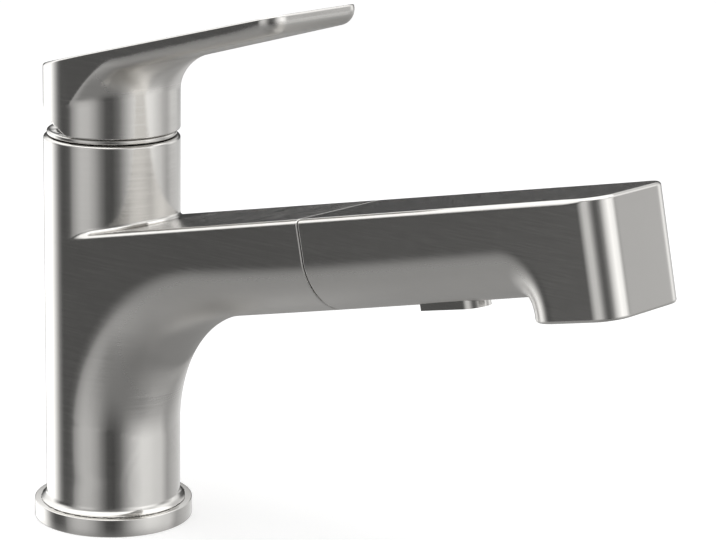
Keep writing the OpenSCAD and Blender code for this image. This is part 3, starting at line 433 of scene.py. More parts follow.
def body_field(m):
    """The column and arm. In profile the front runs up the column, round a quarter-like arc of
    blend_radius and out along the arm's underside; in section this profile meets the flat sides
    by an arc whose radius eases from the column's to the underside's. The top plane cuts it, the
    column stands through it, and the bore and a smaller copy of the arm are taken out."""
    c, s = math.cos(m.arm_tilt), math.sin(m.arm_tilt)
    rise = math.tan(m.under_taper)
    cx = m.column_radius + m.blend_radius
    drop = (-m.blend_radius / math.cos(m.under_taper) + cx * s - m.arm_depth + cx * c * rise)
    cz = m.arm_top + drop / (c - s * rise)
    last = math.pi / 2 - m.arm_tilt - m.under_taper

    def outer(x, y, z):
        along, high = arm_axes(m, x, z)
        turn = np.where(z < cz, 0, np.arctan2(np.maximum(z - cz, 0), cx - x))
        curve = m.blend_radius - np.hypot(x - cx, z - cz)
        flat = -(high + m.arm_depth) * math.cos(m.under_taper) + along * math.sin(m.under_taper)
        front = np.where(z < cz, x - m.column_radius, np.where(turn < last, curve, flat))
        radius = under_radius(m, along)
        out = x + (along - x) * smooth(*LENGTH_EASE, x)
        taper = math.tan(m.side_taper) * np.maximum(out, 0) * smooth(*TAPER_EASE, z - cz)
        side = (np.abs(y) - m.column_radius + taper) * math.cos(m.side_taper)
        return front, side, radius, along, high

    def field(x, y, z):
        front, side, radius, along, high = outer(x, y, z)
        disc = np.hypot(x, y)
        column = disc - m.column_radius
        low = np.where(x < 0, column, edge(front, side, radius))
        arm = edge(low, high, m.top_edge)
        crease = m.crease * smooth(*CREASE_OUT, x) * smooth(*CREASE_UP, high)
        foot = fillet(column, z - m.foot_height - m.foot_lip, m.foot_flare)
        foot = np.maximum(foot, column - m.foot_flare)
        form = fillet(arm, foot, crease)
        form = edge(form, z - m.rim_height, m.rim_edge)
        form = edge(form, m.foot_height - z, m.foot_edge)
        form = edge(form, along - m.split, m.split_edge)
        inner = edge(front + m.arm_wall, side + m.arm_wall, radius - m.arm_wall)
        inner = np.maximum(np.maximum(inner, high + m.arm_wall), m.cavity_start - along)
        bore = disc - (m.column_radius - m.column_wall)
        return edge(form, -np.minimum(bore, inner), m.bore_edge)

    return field


# Lines of the skins' grids: overrun below and above, and coarse step, in millimetres. They are
# odd numbers, so that no line of a grid lies in a flat face.
BODY_LINES = (0.9, 1.03, 1.17), (0.77, 0.83, 1.13), (0.71, 0.67, 1.21)
WAND_LINES = (0.77, 0.83, 1.07), (0.71, 0.73, 1.05), (0.73, 0.71, 1.03)
HANDLE_LINES = (0.83, 0.77, 1.15), (0.79, 0.81, 1.09), (0.69, 0.73, 1.05)
# Stretches over which the lines turn with the arm, take its taper, and turn with the lever
ARM_TURN = 20, 80
ARM_TAPER = 20, 70
LEVER_TURN = 15, 50
LEVER_RISE = 0, 16


def body_grid(m):
    """Stations of the column and arm, and the function that carries them into place: heights
    shear up with the arm's top, and the stations turn square to the arm as they go out."""
    r, wide = m.column_radius, m.column_radius + m.foot_flare
    end = m.split * math.cos(m.arm_tilt)
    out, across, up = BODY_LINES
    parting, root, side = (0, 0.7, 0.3), (0.9, 1.9, 0.5), (0.8, 1.3, 0.5)
    top, rim, foot = (0.5, 1.9, 0.45), (0.5, 0.7, 0.4), (0.7, 1.6, 0.3)
    axes = (stations(-wide, end, out, near(end, parting), near(r, root)),
            stations(-wide, wide, across, near(-r, side), near(r, side, -1)),
            stations(m.foot_height, m.rim_height, up, near(m.arm_top, top, -1),
                     near(m.rim_height, rim, -1), near(m.foot_height, foot)))

    def place(p, v, h):
        climb = np.maximum(p, 0) * math.tan(m.arm_tilt)
        fade = np.where(h < m.arm_top, (h - m.foot_height) / (m.arm_top - m.foot_height),
                        (m.rim_height - h) / (m.rim_height - m.arm_top))
        z = h + climb * np.clip(fade, 0, 1)
        lean = np.tan(m.arm_tilt * smooth(*ARM_TURN, p))
        x = p + (m.arm_top + climb - z) * lean
        taper = math.tan(m.side_taper) * np.maximum(p, 0) * smooth(*ARM_TAPER, z)
        return x, v * (m.column_radius - taper) / m.column_radius, z

    return axes, place


def wand_field(m, w):
    """The wand, in the arm's own axes (out, across, up). Its profile is the underside joined to
    the nose's rear face by a hollow arc, its plan is the tapered sides with round front corners,
    and the two meet in an arc that narrows from the underside's radius to the nose's rear corner.
    A smaller copy of the form, the spray opening and the button's slot are taken out."""
    rear = w.end - w.nose_length
    start = m.split + w.split_gap
    bend_s = rear - w.nose_blend
    bend_n = -m.arm_depth + bend_s * math.tan(m.under_taper) - w.nose_blend
    spray = rear + w.nose_length / 2

    def form(s, v, n, inset):
        under = -(n + m.arm_depth) * math.cos(m.under_taper) + s * math.sin(m.under_taper)
        profile = fillet(under, rear - s, w.nose_blend)
        turn = np.arctan2(np.maximum(s - bend_s, 0), np.maximum(n - bend_n, TINY))
        radius = under_radius(m, s)
        radius += (w.rear_corner - m.under_round) * smooth(0, math.pi / 2, turn)
        side = (np.abs(v) - m.column_radius) * math.cos(m.side_taper) + s * math.sin(m.side_taper)
        plan = edge(side + inset, s - w.end + inset, w.front_corner - inset)
        return edge(profile + inset, plan, radius - inset)

    def field(s, v, n):
        top = m.top_edge + (w.end_edge - m.top_edge) * smooth(*END_EASE, s - w.end)
        out = edge(form(s, v, n, 0), -w.nose_depth - n, w.nose_edge)
        out = edge(out, n, top)
        out = edge(out, start - s, m.split_edge)
        inner = np.maximum(form(s, v, n, w.wall), n + w.wall)
        inner = np.maximum(inner, -w.nose_depth + w.wall - n)
        opening = np.maximum(np.hypot(s - spray, v) - w.spray_radius, n + w.spray_roof)
        half = w.button_width / 2 + w.button_gap
        mid = w.button_front - w.button_width / 2
        slot = np.hypot(np.maximum(s - mid, 0), v) - half
        slot = np.maximum(slot, w.button_front - w.button_length - w.button_gap - s)
        slot = np.maximum(slot, n + w.nose_depth / 2)
        shell = edge(out, -inner, m.bore_edge)
        return edge(shell, -np.minimum(opening, slot), w.opening_edge)

    return field


def wand_grid(m, w):
    """Stations of the wand in the arm's axes; the width narrows with the sides."""
    r, start, rear = m.column_radius, m.split + w.split_gap, w.end - w.nose_length
    out, across, up = WAND_LINES
    parting, face, sweep = (0, 0.5, 0.3), (0.9, 1.3, 0.4), (0, 3.0, 0.6)
    side, top, low = (0.8, 1.3, 0.45), (0.8, 1.2, 0.4), (0.5, 0.6, 0.4)
    axes = (stations(start, w.end, out, near(start, parting), near(w.end, face, -1),
                     near(rear, sweep)),
            stations(-r, r, across, near(-r, side), near(r, side, -1)),
            stations(-w.nose_depth, 0, up, near(0, top, -1), near(-w.nose_depth, low)))

    def place(s, v, n):
        return s, v * (m.column_radius - s * math.tan(m.side_taper)) / m.column_radius, n

    return axes, place


# Stretches over which the form of the handle eases, in millimetres
LOW_EASE = 2, 24  # out from the axis: the radius of the lower edges
LEVER_END = -18, -3  # distances from the lever's end: the same, towards the end's own
TOP_EASE = -10, 12  # out from the axis: the radius of the top edge


def handle_field(m, h):
    """The handle and lever. The upright cylinder and the half space over the lever's underside
    are joined by a hollow arc, and the tapered plan with its round end corners cuts them; to the
    rear it is the cylinder alone. The tilted top plane, the foot, the rear relief, the hollow
    over the neck and the plug's hole finish it."""
    c, s = math.cos(h.tilt), math.sin(h.tilt)
    steep = math.tan(h.relief)

    def field(x, y, z):
        along = x * c + (z - h.top) * s
        high = -x * s + (z - h.top) * c
        disc = np.hypot(x, y)
        column = disc - m.column_radius
        under = along * math.sin(h.under_taper) - (high + h.thickness) * math.cos(h.under_taper)
        profile = fillet(column, under, h.blend)
        side = np.abs(y) - m.column_radius + np.maximum(along, 0) * math.tan(h.side_taper)
        plan = edge(side, along - h.reach, h.corner)
        round_off = h.low_edge * smooth(*LOW_EASE, x)
        round_off += (h.end_edge - h.low_edge) * smooth(*LEVER_END, along - h.reach)
        low = np.where(x < 0, column, edge(profile, plan, round_off))
        top = h.rear_edge + (h.top_edge - h.rear_edge) * smooth(*TOP_EASE, x)
        form = edge(low, high, top)
        form = edge(form, h.foot - z, h.foot_edge)
        relief = (h.foot + (h.relief_start - x) * steep - z) * math.cos(h.relief)
        form = edge(form, relief, h.relief_edge)
        hollow = np.maximum(disc - h.hollow, z - h.foot - h.hollow_height)
        hole = np.maximum(np.hypot(y, z - h.plug_height) - h.plug_radius, x + h.plug_floor)
        return edge(form, -np.minimum(hollow, hole), h.opening_edge)

    return field


def handle_grid(m, h):
    """Stations of the handle and lever: heights shear up with the tilted top, and the stations
    turn square to the lever as they go out."""
    r = m.column_radius
    end = h.reach * math.cos(h.tilt)
    out, across, up = HANDLE_LINES
    tip, corner, side = (0.6, 1.0, 0.35), (4, 3.0, 0.6), (1.0, 1.5, 0.45)
    foot, top, under = (0, 0.5, 0.35), (0.2, 0.8, 0.35), (4.6, 2.6, 0.5)
    axes = (stations(-r, end, out, near(end, tip, -1), near(end, corner, -1)),
            stations(-r, r, across, near(-r, side), near(r, side, -1)),
            stations(h.foot, h.top, up, near(h.foot, foot), near(h.top, top, -1),
                     near(h.top, under, -1)))

    def place(p, v, q):
        climb = p * math.tan(h.tilt)
        z = q + climb * smooth(*LEVER_RISE, q - h.foot)
        lean = np.tan(h.tilt * smooth(*LEVER_TURN, p))
        x = p + (h.top + climb - z) * lean
        taper = math.tan(h.side_taper) * np.maximum(p, 0)
        return x, v * (m.column_radius - taper) / m.column_radius, z

    return axes, place


def arm_to_world(m, points):
    """Points in the arm's own axes carried into the shared frame."""
    c, s = math.cos(m.arm_tilt), math.sin(m.arm_tilt)
    out, across, up = points.T
    return np.stack([out * c - up * s, across, m.arm_top + out * s + up * c], axis=1)


MARGIN = 0.1  # how far a straight stretch stops short of an arc, in millimetres


def outline(node):
    """A round node's outer radius, top and underside, in millimetres."""
    low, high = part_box(node)
    return high[0] * MM, high[2] * MM, low[2] * MM


def deck_profile(k, r, top):
    """Outline of the deck ring, radius and height: from the bore out along the underside, up the
    wall with its two rounded edges, and in over the top to the recess. The points half way keep
    the shading of wall and top flat."""
    low, high = k.deck_low_edge, k.deck_edge
    return np.concatenate([
        [[k.deck_bore, k.deck_lift], [r - low - MARGIN, k.deck_lift]],
        arc(r - low, low, low, -90, 0, 4),
        [[r, top / 2]], arc(r - high, top - high, high, 0, 90, 8),
        [[k.deck_land, top], [k.recess + k.recess_bevel, top]],
        [[k.recess, top - k.recess_bevel], [k.recess, top - k.recess_depth],
         [k.deck_bore, top - k.recess_depth]]])


def trim_profile(m, k, r, top, foot):
    """Outline of the trim ring, radius and height: the foot of its skirt, up to the seat over the
    column's rim, out and round the band's two edges, in over the top, and down the bore to the
    ledge on the valve body."""
    seat = m.rim_height + k.rim_gap
    e, bore = k.trim_edge, k.bore_edge
    return np.concatenate([
        [[k.skirt_in, foot], [k.skirt_out - k.skirt_bevel, foot],
         [k.skirt_out, foot + k.skirt_bevel], [k.skirt_out, seat], [r - k.trim_land, seat]],
        arc(r - e, seat + e, e, -90, 0), arc(r - e, top - e, e, 0, 90),
        [[r - k.trim_land, top], [k.trim_bore + bore / 2, top]],
        arc(k.trim_bore + bore, top - bore, bore, 90, 180, 3),
        [[k.trim_bore, seat + k.ledge_height], [k.ledge, seat + k.ledge_height],
         [k.ledge, seat], [k.skirt_in, seat]]])


class Nodes:
    """Short hand for a material's node tree."""

    def __init__(self, tree):
        self.tree = tree
        self.tree.nodes.clear()

    def add(self, kind, inputs=None, **settings):
        """Adds a node, sets its properties, and sets or links its inputs."""
        node = self.tree.nodes.new(kind)
        for key, value in settings.items():
            setattr(node, key, value)
        for key, value in (inputs or {}).items():
            if isinstance(value, bpy.types.NodeSocket):
                self.tree.links.new(value, node.inputs[key])
            else:
                node.inputs[key].default_value = value
        return node

    def math(self, operation, a, b=0.0, clamp=False):
        """One sum on two values."""
        return self.add("ShaderNodeMath", {0: a, 1: b}, operation=operation,
                        use_clamp=clamp).outputs[0]

    def noise(self, vector, scale, detail=3.0, rough=0.5):
        """Soft noise about 0.5."""
        return self.add("ShaderNodeTexNoise", {"Vector": vector, "Scale": scale,
                                               "Detail": detail, "Roughness": rough}).outputs[0]

    def drift(self, noise, low, high, half=0.2):
        """Carries noise that keeps within half of 0.5 to the span from low to high."""
        return self.span(noise, low, high, 0.5 - half, 0.5 + half)

    def span(self, value, low, high, start=0.0, stop=1.0):
        """Carries a value from one span to another."""
        return self.add("ShaderNodeMapRange", {"Value": value, "From Min": start,
                                               "From Max": stop, "To Min": low,
                                               "To Max": high}).outputs[0]

    def tint(self, dark, light, factor):
        """A colour between two colours."""
        mix = self.add("ShaderNodeMix", data_type="RGBA")
        mix.inputs[6].default_value = (*dark, 1)
        mix.inputs[7].default_value = (*light, 1)
        self.tree.links.new(factor, mix.inputs[0])
        return mix.outputs[2]


def start_material(name):
    """An empty material with Object coordinates to hand."""
    material = bpy.data.materials.new(name)
    material.use_nodes = True
    nodes = Nodes(material.node_tree)
    place = nodes.add("ShaderNodeTexCoord").outputs["Object"]
    return material, nodes, place


def finish_material(nodes, shader, bump, depth):
    """Bumps a shader by a height, to a depth in metres, and puts it out."""
    ridge = nodes.add("ShaderNodeBump", {"Height": bump, "Strength": 1.0, "Distance": depth})
    nodes.tree.links.new(ridge.outputs[0], shader.inputs["Normal"])
    nodes.add("ShaderNodeOutputMaterial", {"Surface": shader.outputs[0]})


def scaled(value, amount):
    """A colour made lighter or darker."""
    return tuple(min(1.0, v * amount) for v in value)


# Sizes of the noise in the finishes, as cycles in a metre
BROAD, DRIFT, STAIN, MOTTLE = 28.0, 70.0, 90.0, 260.0
MARKS = 60  # the same across the run of tool marks and brushed lines
LINE_DEPTH = 8.8e-6  # depth of a brushed line, in metres, where the brushing is full
TOOL_DEPTH = 8e-6  # depth of a tool mark


def brushed(name, look, streaks, tangent):
    """Satin nickel. Fine lines are noise drawn out long one way and packed close the other two;
    they vary the roughness and the bump, and broad soft noise varies the tone. Where the piece
    carries the direction of its brushing, the highlights spread across it, and its hollows are
    duller."""
    material, nodes, place = start_material(name)
    fine = nodes.add("ShaderNodeMapping", {"Vector": place, "Scale": streaks})
    lines = nodes.noise(fine.outputs[0], 1.0, 2.0, 0.55)
    tone = nodes.math("ADD", nodes.drift(nodes.noise(place, BROAD), -0.5, 0.5),
                      nodes.drift(lines, -0.35, 0.35))
    rough = nodes.math("ADD", nodes.drift(lines, look.nickel_roughness - 0.03,
                                          look.nickel_roughness + 0.03),
                       nodes.drift(nodes.noise(place, MOTTLE), -0.012, 0.012))
    inputs = {
        "Base Color": nodes.tint(scaled(look.nickel, 0.965), scaled(look.nickel, 1.035),
                                 nodes.span(tone, 0.0, 1.0, -0.8, 0.8)),
        "Metallic": 1.0,
        "Roughness": rough,
    }
    if tangent:
        hollow = nodes.add("ShaderNodeAttribute", attribute_name="hollow").outputs["Fac"]
        dull = nodes.math("MULTIPLY", hollow, look.dull)
        grain = nodes.add("ShaderNodeAttribute", attribute_name="grain").outputs["Vector"]
        inputs.update({"Roughness": nodes.math("ADD", rough, dull), "Tangent": grain,
                       "Anisotropic": look.stretch, "Anisotropic Rotation": 0.25})
    shader = nodes.add("ShaderNodeBsdfPrincipled", inputs)
    finish_material(nodes, shader, lines, LINE_DEPTH * look.brushing)
    return material


def turned_metal(name, base, rough, scale):
    """Cut brass, drawn copper or ground steel: even tool marks round the part, small dull
    patches, and roughness that follows them."""
    material, nodes, place = start_material(name)
    marks = nodes.add("ShaderNodeMapping", {"Vector": place, "Scale": (MARKS, MARKS, scale)})
    lines = nodes.noise(marks.outputs[0], 1.0, 2.0, 0.6)
    stain = nodes.noise(place, STAIN, 4.0, 0.6)
    inputs = {
        "Base Color": nodes.tint(scaled(base, 0.82), scaled(base, 1.06),
                                 nodes.drift(stain, 0.0, 1.0)),
        "Metallic": 1.0,
        "Roughness": nodes.math("ADD", nodes.drift(lines, rough - 0.06, rough + 0.06),
                                nodes.drift(stain, 0.05, -0.05, 0.15)),
    }
    shader = nodes.add("ShaderNodeBsdfPrincipled", inputs)
    finish_material(nodes, shader, lines, TOOL_DEPTH)
    return material


def moulded(name, base, rough, texture, depth, sheen=0.0):
    """Moulded plastic, ceramic or rubber: a fine even texture in the bump, a soft drift of tone,
    and roughness that varies with it."""
    material, nodes, place = start_material(name)
    fine = nodes.noise(place, texture, 3.0, 0.6)
    broad = nodes.noise(place, DRIFT)
    inputs = {
        "Base Color": nodes.tint(scaled(base, 0.88), scaled(base, 1.08),
                                 nodes.drift(broad, 0.0, 1.0)),
        "Roughness": nodes.math("ADD", nodes.drift(fine, rough - 0.05, rough + 0.05),
                                nodes.drift(broad, -0.04, 0.04)),
        "Sheen Weight": sheen,
    }
    shader = nodes.add("ShaderNodeBsdfPrincipled", inputs)
    finish_material(nodes, shader, fine, depth)
    return material


def finish_set(look):
    """One material for each slot of the record, and the brushed ones of the new skins."""
    fine = 2600
    level, lengthwise = (MARKS, MARKS, fine), (MARKS, fine, fine)
    return {
        "brushed_nickel": brushed("Satin nickel", look, level, False),
        "nickel_round": brushed("Satin nickel, brushed round", look, level, True),
        "nickel_long": brushed("Satin nickel, brushed lengthwise", look, lengthwise, True),
        "brass": turned_metal("Turned brass", look.brass, 0.3, 1400),
        "copper": turned_metal("Drawn copper", look.copper, 0.32, 20),
        "steel": turned_metal("Ground steel", look.steel, 0.28, 900),
        "ceramic": moulded("Lapped ceramic", look.ceramic, 0.25, 900, 2e-6),
        "white_plastic": moulded("White acetal", look.white_plastic, 0.42, 1500, 5e-6),
        "grey_plastic": moulded("Grey acetal", look.grey_plastic, 0.45, 1500, 6e-6),
        "blue_plastic": moulded("Blue acetal", look.blue_plastic, 0.38, 1500, 5e-6),
        "rubber": moulded("Black rubber", look.rubber, 0.62, 1900, 1e-5, 0.15),
        "nozzle_rubber": moulded("Soft nozzle rubber", look.nozzle_rubber, 0.55, 1900, 8e-6, 0.1),
    }


def material_of(name, look):
    """The material of a slot, made the first time it is asked for."""
    if name not in FINISHES:
        FINISHES.update(finish_set(look))
    return FINISHES[name]


FINISHES = {}


def dress(obj, body, slot, material, *nodes):
    """Gives a piece its body and material, and hides the nodes that it stands for; slot is not
    used.
    """
    obj.data.materials.append(material)
    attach(obj, body)
    if nodes:
        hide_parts(*nodes)
    return obj


# Where the brushing turns and the hollows grow dull. The first four are distances in millimetres,
# the others parts of the unit normal, counted the way that the share grows.
ROOT_OUT = -2, 14  # in front of the column: from round the column to along the arm
STAND_UP = -1.7, 3.3  # above the arm's top plane: back to round the column
HOLLOW_OUT = 18, 26  # in front of the axis: dull hollow of the arm
LEVER_OUT = (20, 34), (12, 20)  # the same of the lever: its brushing, and its dull hollow
HOLLOW_UNDER = -0.05, -0.45  # downward part: underside of the arm
HOLLOW_REAR = -0.1, -0.5  # forward part: rear of the nose
END_FACE = 0.45, 0.8  # forward part: end face, brushed across
LEVER_TOP = 0.6, 0.9  # upward part: top of the lever, brushed along
LEVER_UNDER = 0.1, -0.35  # downward part: underside of the lever


class FAUCET_OT_body(bpy.types.Operator):
    """Builds the column and arm"""
    bl_idname = "faucet.body"
    bl_label = "Column and Arm"

    def execute(self, context):
        scene = context.scene
        m = sizes(scene.faucet_body)
        points, quads, normals = skin(body_field(m), *body_grid(m))
        x, z = points[:, 0], points[:, 2]
        out = np.array([math.cos(m.arm_tilt), 0, math.sin(m.arm_tilt)])
        above = smooth(*STAND_UP, arm_axes(m, x, z)[1])
        in_arm = smooth(*ROOT_OUT, x - m.column_radius) * (1 - above)
        grain = mixed(around(points), np.broadcast_to(out, points.shape), in_arm)
        hollow = smooth(*HOLLOW_UNDER, normals[:, 2]) * smooth(*HOLLOW_OUT, x)
        obj = put("body_skin", points, quads, normals, grain, hollow)
        dress(obj, "spout", "brushed_nickel", material_of("nickel_round", scene.faucet_finish),
              "faucet_body", "spout_arm")
        return {"FINISHED"}


class FAUCET_OT_wand(bpy.types.Operator):
    """Builds the shell of the pull-out wand"""
    bl_idname = "faucet.wand"
    bl_label = "Wand"

    def execute(self, context):
        scene = context.scene
        m, w = sizes(scene.faucet_body), sizes(scene.faucet_wand)
        points, quads, normals = skin(wand_field(m, w), *wand_grid(m, w))
        c, s = math.cos(m.arm_tilt), math.sin(m.arm_tilt)
        turned = np.stack([normals[:, 0] * c - normals[:, 2] * s, normals[:, 1],
                           normals[:, 0] * s + normals[:, 2] * c], axis=1)
        front = smooth(*END_FACE, normals[:, 0])
        world = arm_to_world(m, points)
        along = np.broadcast_to(np.array([c, 0, s]), world.shape)
        across = np.broadcast_to(np.array([0.0, 1, 0]), world.shape)
        hollow = np.maximum(smooth(*HOLLOW_UNDER, normals[:, 2]),
                            smooth(*HOLLOW_REAR, normals[:, 0]))
        obj = put("wand_skin", world, quads, turned, mixed(along, across, front), hollow)
        dress(obj, "wand", "brushed_nickel", material_of("nickel_long", scene.faucet_finish),
              "wand_shell")
        return {"FINISHED"}


class FAUCET_OT_handle(bpy.types.Operator):
    """Builds the handle and its lever"""
    bl_idname = "faucet.handle"
    bl_label = "Handle and Lever"

    def execute(self, context):
        scene = context.scene
        m, h = sizes(scene.faucet_body), sizes(scene.faucet_handle)
        points, quads, normals = skin(handle_field(m, h), *handle_grid(m, h))
        out = np.array([math.cos(h.tilt), 0, math.sin(h.tilt)])
        brushed_out, dull_out = LEVER_OUT
        x, up = points[:, 0], normals[:, 2]
        in_lever = np.maximum(smooth(*LEVER_TOP, up), smooth(*brushed_out, x))
        grain = mixed(around(points), np.broadcast_to(out, points.shape), in_lever)
        hollow = smooth(*LEVER_UNDER, up) * smooth(*dull_out, x)
        obj = put("handle_skin", points, quads, normals, grain, hollow)
        dress(obj, "lever", "brushed_nickel", material_of("nickel_round", scene.faucet_finish),
              "lever_handle")
        return {"FINISHED"}


class FAUCET_OT_rings(bpy.types.Operator):
    """Builds the deck ring and the trim ring under the handle"""
    bl_idname = "faucet.rings"
    bl_label = "Deck Ring and Trim Ring"

    def execute(self, context):
        scene = context.scene
        m, k = sizes(scene.faucet_body), sizes(scene.faucet_rings)
        for name, node, profile in (
                ("deck_ring", "base_ring", deck_profile(k, *outline("base_ring")[:2])),
                ("trim_skin", "trim_ring", trim_profile(m, k, *outline("trim_ring")))):
            points, quads = revolve(profile, scene.faucet_studio.turns)
            ring = put(name, points, quads[:, ::-1], None, around(points))
            dress(ring, "post", "brushed_nickel", material_of("nickel_round", scene.faucet_finish),
                  node)
        return {"FINISHED"}


class FAUCET_OT_finishes(bpy.types.Operator):
    """Gives every part of the assembly the finish of its slot"""
    bl_idname = "faucet.finishes"
    bl_label = "Finishes"

    def execute(self, context):
        look = context.scene.faucet_finish
        for name, obj in frame["nodes"].items():
            obj.data.materials.clear()
            obj.data.materials.append(material_of(slot_of(name), look))
        return {"FINISHED"}


class FAUCET_OT_stage(bpy.types.Operator):
    """Sets the camera, the floor and the light"""
    bl_idname = "faucet.stage"
    bl_label = "Camera, Floor and Light"

    def execute(self, context):
        scene = context.scene
        set_camera(scene)
        set_floor(scene)
        set_lights(scene)
        scene.view_settings.view_transform = "Standard"
        return {"FINISHED"}


def slot_of(name):
    """The material slot that the record gives a node."""
    for facts in frame["record"]["subparts"]:
        if facts["node"] == name:
            return facts["material_slot"]
    raise RuntimeError(f"no subpart is the node {name}")


# The photograph's view: place of the lens in metres, direction of view, roll, and how far the
# camera's side is turned from the X axis
CAMERA_PLACE = np.array([0.69459, -0.67948, 0.33271])
CAMERA_AHEAD = np.array([-0.6301, 0.7380, -0.24146])
CAMERA_ROLL = math.radians(0.996)
CAMERA_SIDE = math.radians(44.4)


def set_camera(scene):
    """The camera of the photograph's view."""
    data = bpy.data.cameras.new("Camera")
    data.sensor_width = 36
    data.lens = scene.faucet_studio.lens
    data.clip_start, data.clip_end = 0.05, 50
    camera = bpy.data.objects.new("Camera", data)
    scene.collection.objects.link(camera)
    camera.matrix_world = camera_matrix(CAMERA_PLACE, CAMERA_AHEAD, CAMERA_ROLL)
    scene.camera = camera


def camera_matrix(place, ahead, roll):
    """Looks from a place along a direction: right is square to the direction and to the
    vertical, up is square to both, and the roll turns these two about the direction."""
    ahead = ahead / np.linalg.norm(ahead)
    right = np.cross(ahead, [0, 0, 1])
    right /= np.linalg.norm(right)
    up = np.cross(right, ahead)
    right, up = (right * math.cos(roll) + up * math.sin(roll),
                 up * math.cos(roll) - right * math.sin(roll))
    rows = np.eye(4)
    rows[:3, 0], rows[:3, 1], rows[:3, 2], rows[:3, 3] = right, up, -ahead, place
    return Matrix(rows.tolist())


# The floor's grid, and the closed cover round the shank and tails under it, in millimetres
FLOOR_TURNS, FLOOR_RINGS = 96, 24
FLOOR_CENTRE = 20  # radius of the innermost ring
FLOOR_DROP = 0.02  # how far the floor lies under the deck plane
COVER_AXIS, COVER_RADIUS = 0.01, 29
COVER_TOP, COVER_FOOT = -0.5, -90


def set_floor(scene):
    """A round pale floor, a grid of rings and spokes that is open in the middle, under the deck
    ring. Below it a closed cylinder, which only metal sees, hides the shank and the tails."""
    studio = scene.faucet_studio
    rings = np.geomspace(FLOOR_CENTRE, studio.floor_radius * MM, FLOOR_RINGS)[:, None]
    t = np.arange(FLOOR_TURNS) * 2 * np.pi / FLOOR_TURNS
    points = np.stack([rings * np.cos(t), rings * np.sin(t), 0 * rings * t - FLOOR_DROP],
                      axis=-1).reshape(-1, 3)
    i, j = np.meshgrid(np.arange(FLOOR_RINGS - 1), np.arange(FLOOR_TURNS), indexing="ij")
    k = (j + 1) % FLOOR_TURNS
    quads = np.stack([i * FLOOR_TURNS + j, (i + 1) * FLOOR_TURNS + j, (i + 1) * FLOOR_TURNS + k,
                      i * FLOOR_TURNS + k], axis=-1).reshape(-1, 4)
    floor = put("floor", points, quads)
    floor.data.materials.append(floor_material(studio))
    points, quads = revolve(np.array([
        [COVER_AXIS, COVER_TOP], [COVER_RADIUS, COVER_TOP],
        [COVER_RADIUS, COVER_FOOT], [COVER_AXIS, COVER_FOOT]]), FLOOR_TURNS)
    cover = put("tail_cover", points, quads[:, ::-1])
    cover.data.materials.append(cover_material())
    cover.visible_camera = False
    cover.visible_diffuse = False
    cover.visible_shadow = False
    cover.visible_transmission = False


def cover_material():
    """Even pale grey, which metal sees in place of the shank and tails under the deck."""
    material, nodes, place = start_material("Tail cover")
    tone = nodes.tint((0.66, 0.66, 0.66), (0.7, 0.7, 0.7), nodes.noise(place, 12.0, 2.0))
    grey = nodes.add("ShaderNodeEmission", {"Color": tone, "Strength": 1.0})
    nodes.add("ShaderNodeOutputMaterial", {"Surface": grey.outputs[0]})
    return material


def seen_direct(nodes):
    """The rays that should see plain white: 1 for those of the camera or through glass."""
    path = nodes.add("ShaderNodeLightPath")
    return path, nodes.math("ADD", path.outputs["Is Camera Ray"],
                            path.outputs["Is Transmission Ray"], clamp=True)


def floor_material(studio):
    """Pale matt floor, lifted to white for the camera; it keeps the object's shadow. Metal sees
    the room's lower half through it."""
    material, nodes, place = start_material("Pale floor")
    mottle = nodes.noise(place, 4.0, 2.0)
    tone = nodes.tint(scaled(studio.floor, 0.99), studio.floor, mottle)
    matt = nodes.add("ShaderNodeBsdfDiffuse", {"Color": tone, "Roughness": 0.5})
    path, seen = seen_direct(nodes)
    lift = nodes.add("ShaderNodeEmission", {
        "Color": (1, 1, 1, 1), "Strength": nodes.math("MULTIPLY", seen, studio.floor_lift)})
    both = nodes.add("ShaderNodeAddShader", {0: matt.outputs[0], 1: lift.outputs[0]})
    clear = nodes.add("ShaderNodeBsdfTransparent")
    final = nodes.add("ShaderNodeMixShader", {0: path.outputs["Is Glossy Ray"],
                                              1: both.outputs[0], 2: clear.outputs[0]})
    nodes.add("ShaderNodeOutputMaterial", {"Surface": final.outputs[0]})
    return material


# Tones of the room that metal sees, as (angle, brightness): the angle is from the camera's side
# in degrees, positive to the camera's right as seen from the object. First well below the horizon.
BELOW = ((-180, 0.45), (-75, 0.45), (-50, 0.28), (50, 0.28), (75, 0.4), (110, 0.36), (180, 0.36))
# Just below the horizon, which the upright walls show
PANELS = (
    (-180, 0.35), (-167, 0.45), (-159, 1.9), (-122, 1.7), (-112, 0.9), (-103, 0.33), (-95, 0.12),
    (-88, 0.10), (-80, 0.125), (-76, 0.16), (-70, 0.42), (-60, 0.63), (-52, 0.71), (-41, 0.68),
    (-30, 0.53), (-20, 0.28), (-10, 0.09), (0, 0.065), (10, 0.155), (20, 0.40), (31, 0.70),
    (41, 0.90), (52, 1.06), (64, 1.04), (76, 0.96), (89, 0.93), (97, 0.7), (105, 0.49),
    (123, 0.64), (140, 0.75), (162, 0.85), (180, 0.4),
)
# At the horizon and a little above, which the tops of arm and lever show
HORIZON = (
    (-180, 0.06), (-166, 0.06), (-150, 1.2), (-122, 1.6), (-110, 0.6), (-100, 0.14), (-88, 0.1),
    (-78, 0.13), (-70, 0.4), (-55, 0.85), (-40, 0.85), (-20, 0.3), (-10, 0.15), (0, 0.15),
    (12, 0.3), (30, 1.0), (50, 1.6), (70, 1.4), (85, 0.7), (92, 0.53), (104, 0.75), (118, 1.3),
    (134, 1.0), (148, 0.2), (164, 0.07), (180, 0.06),
)
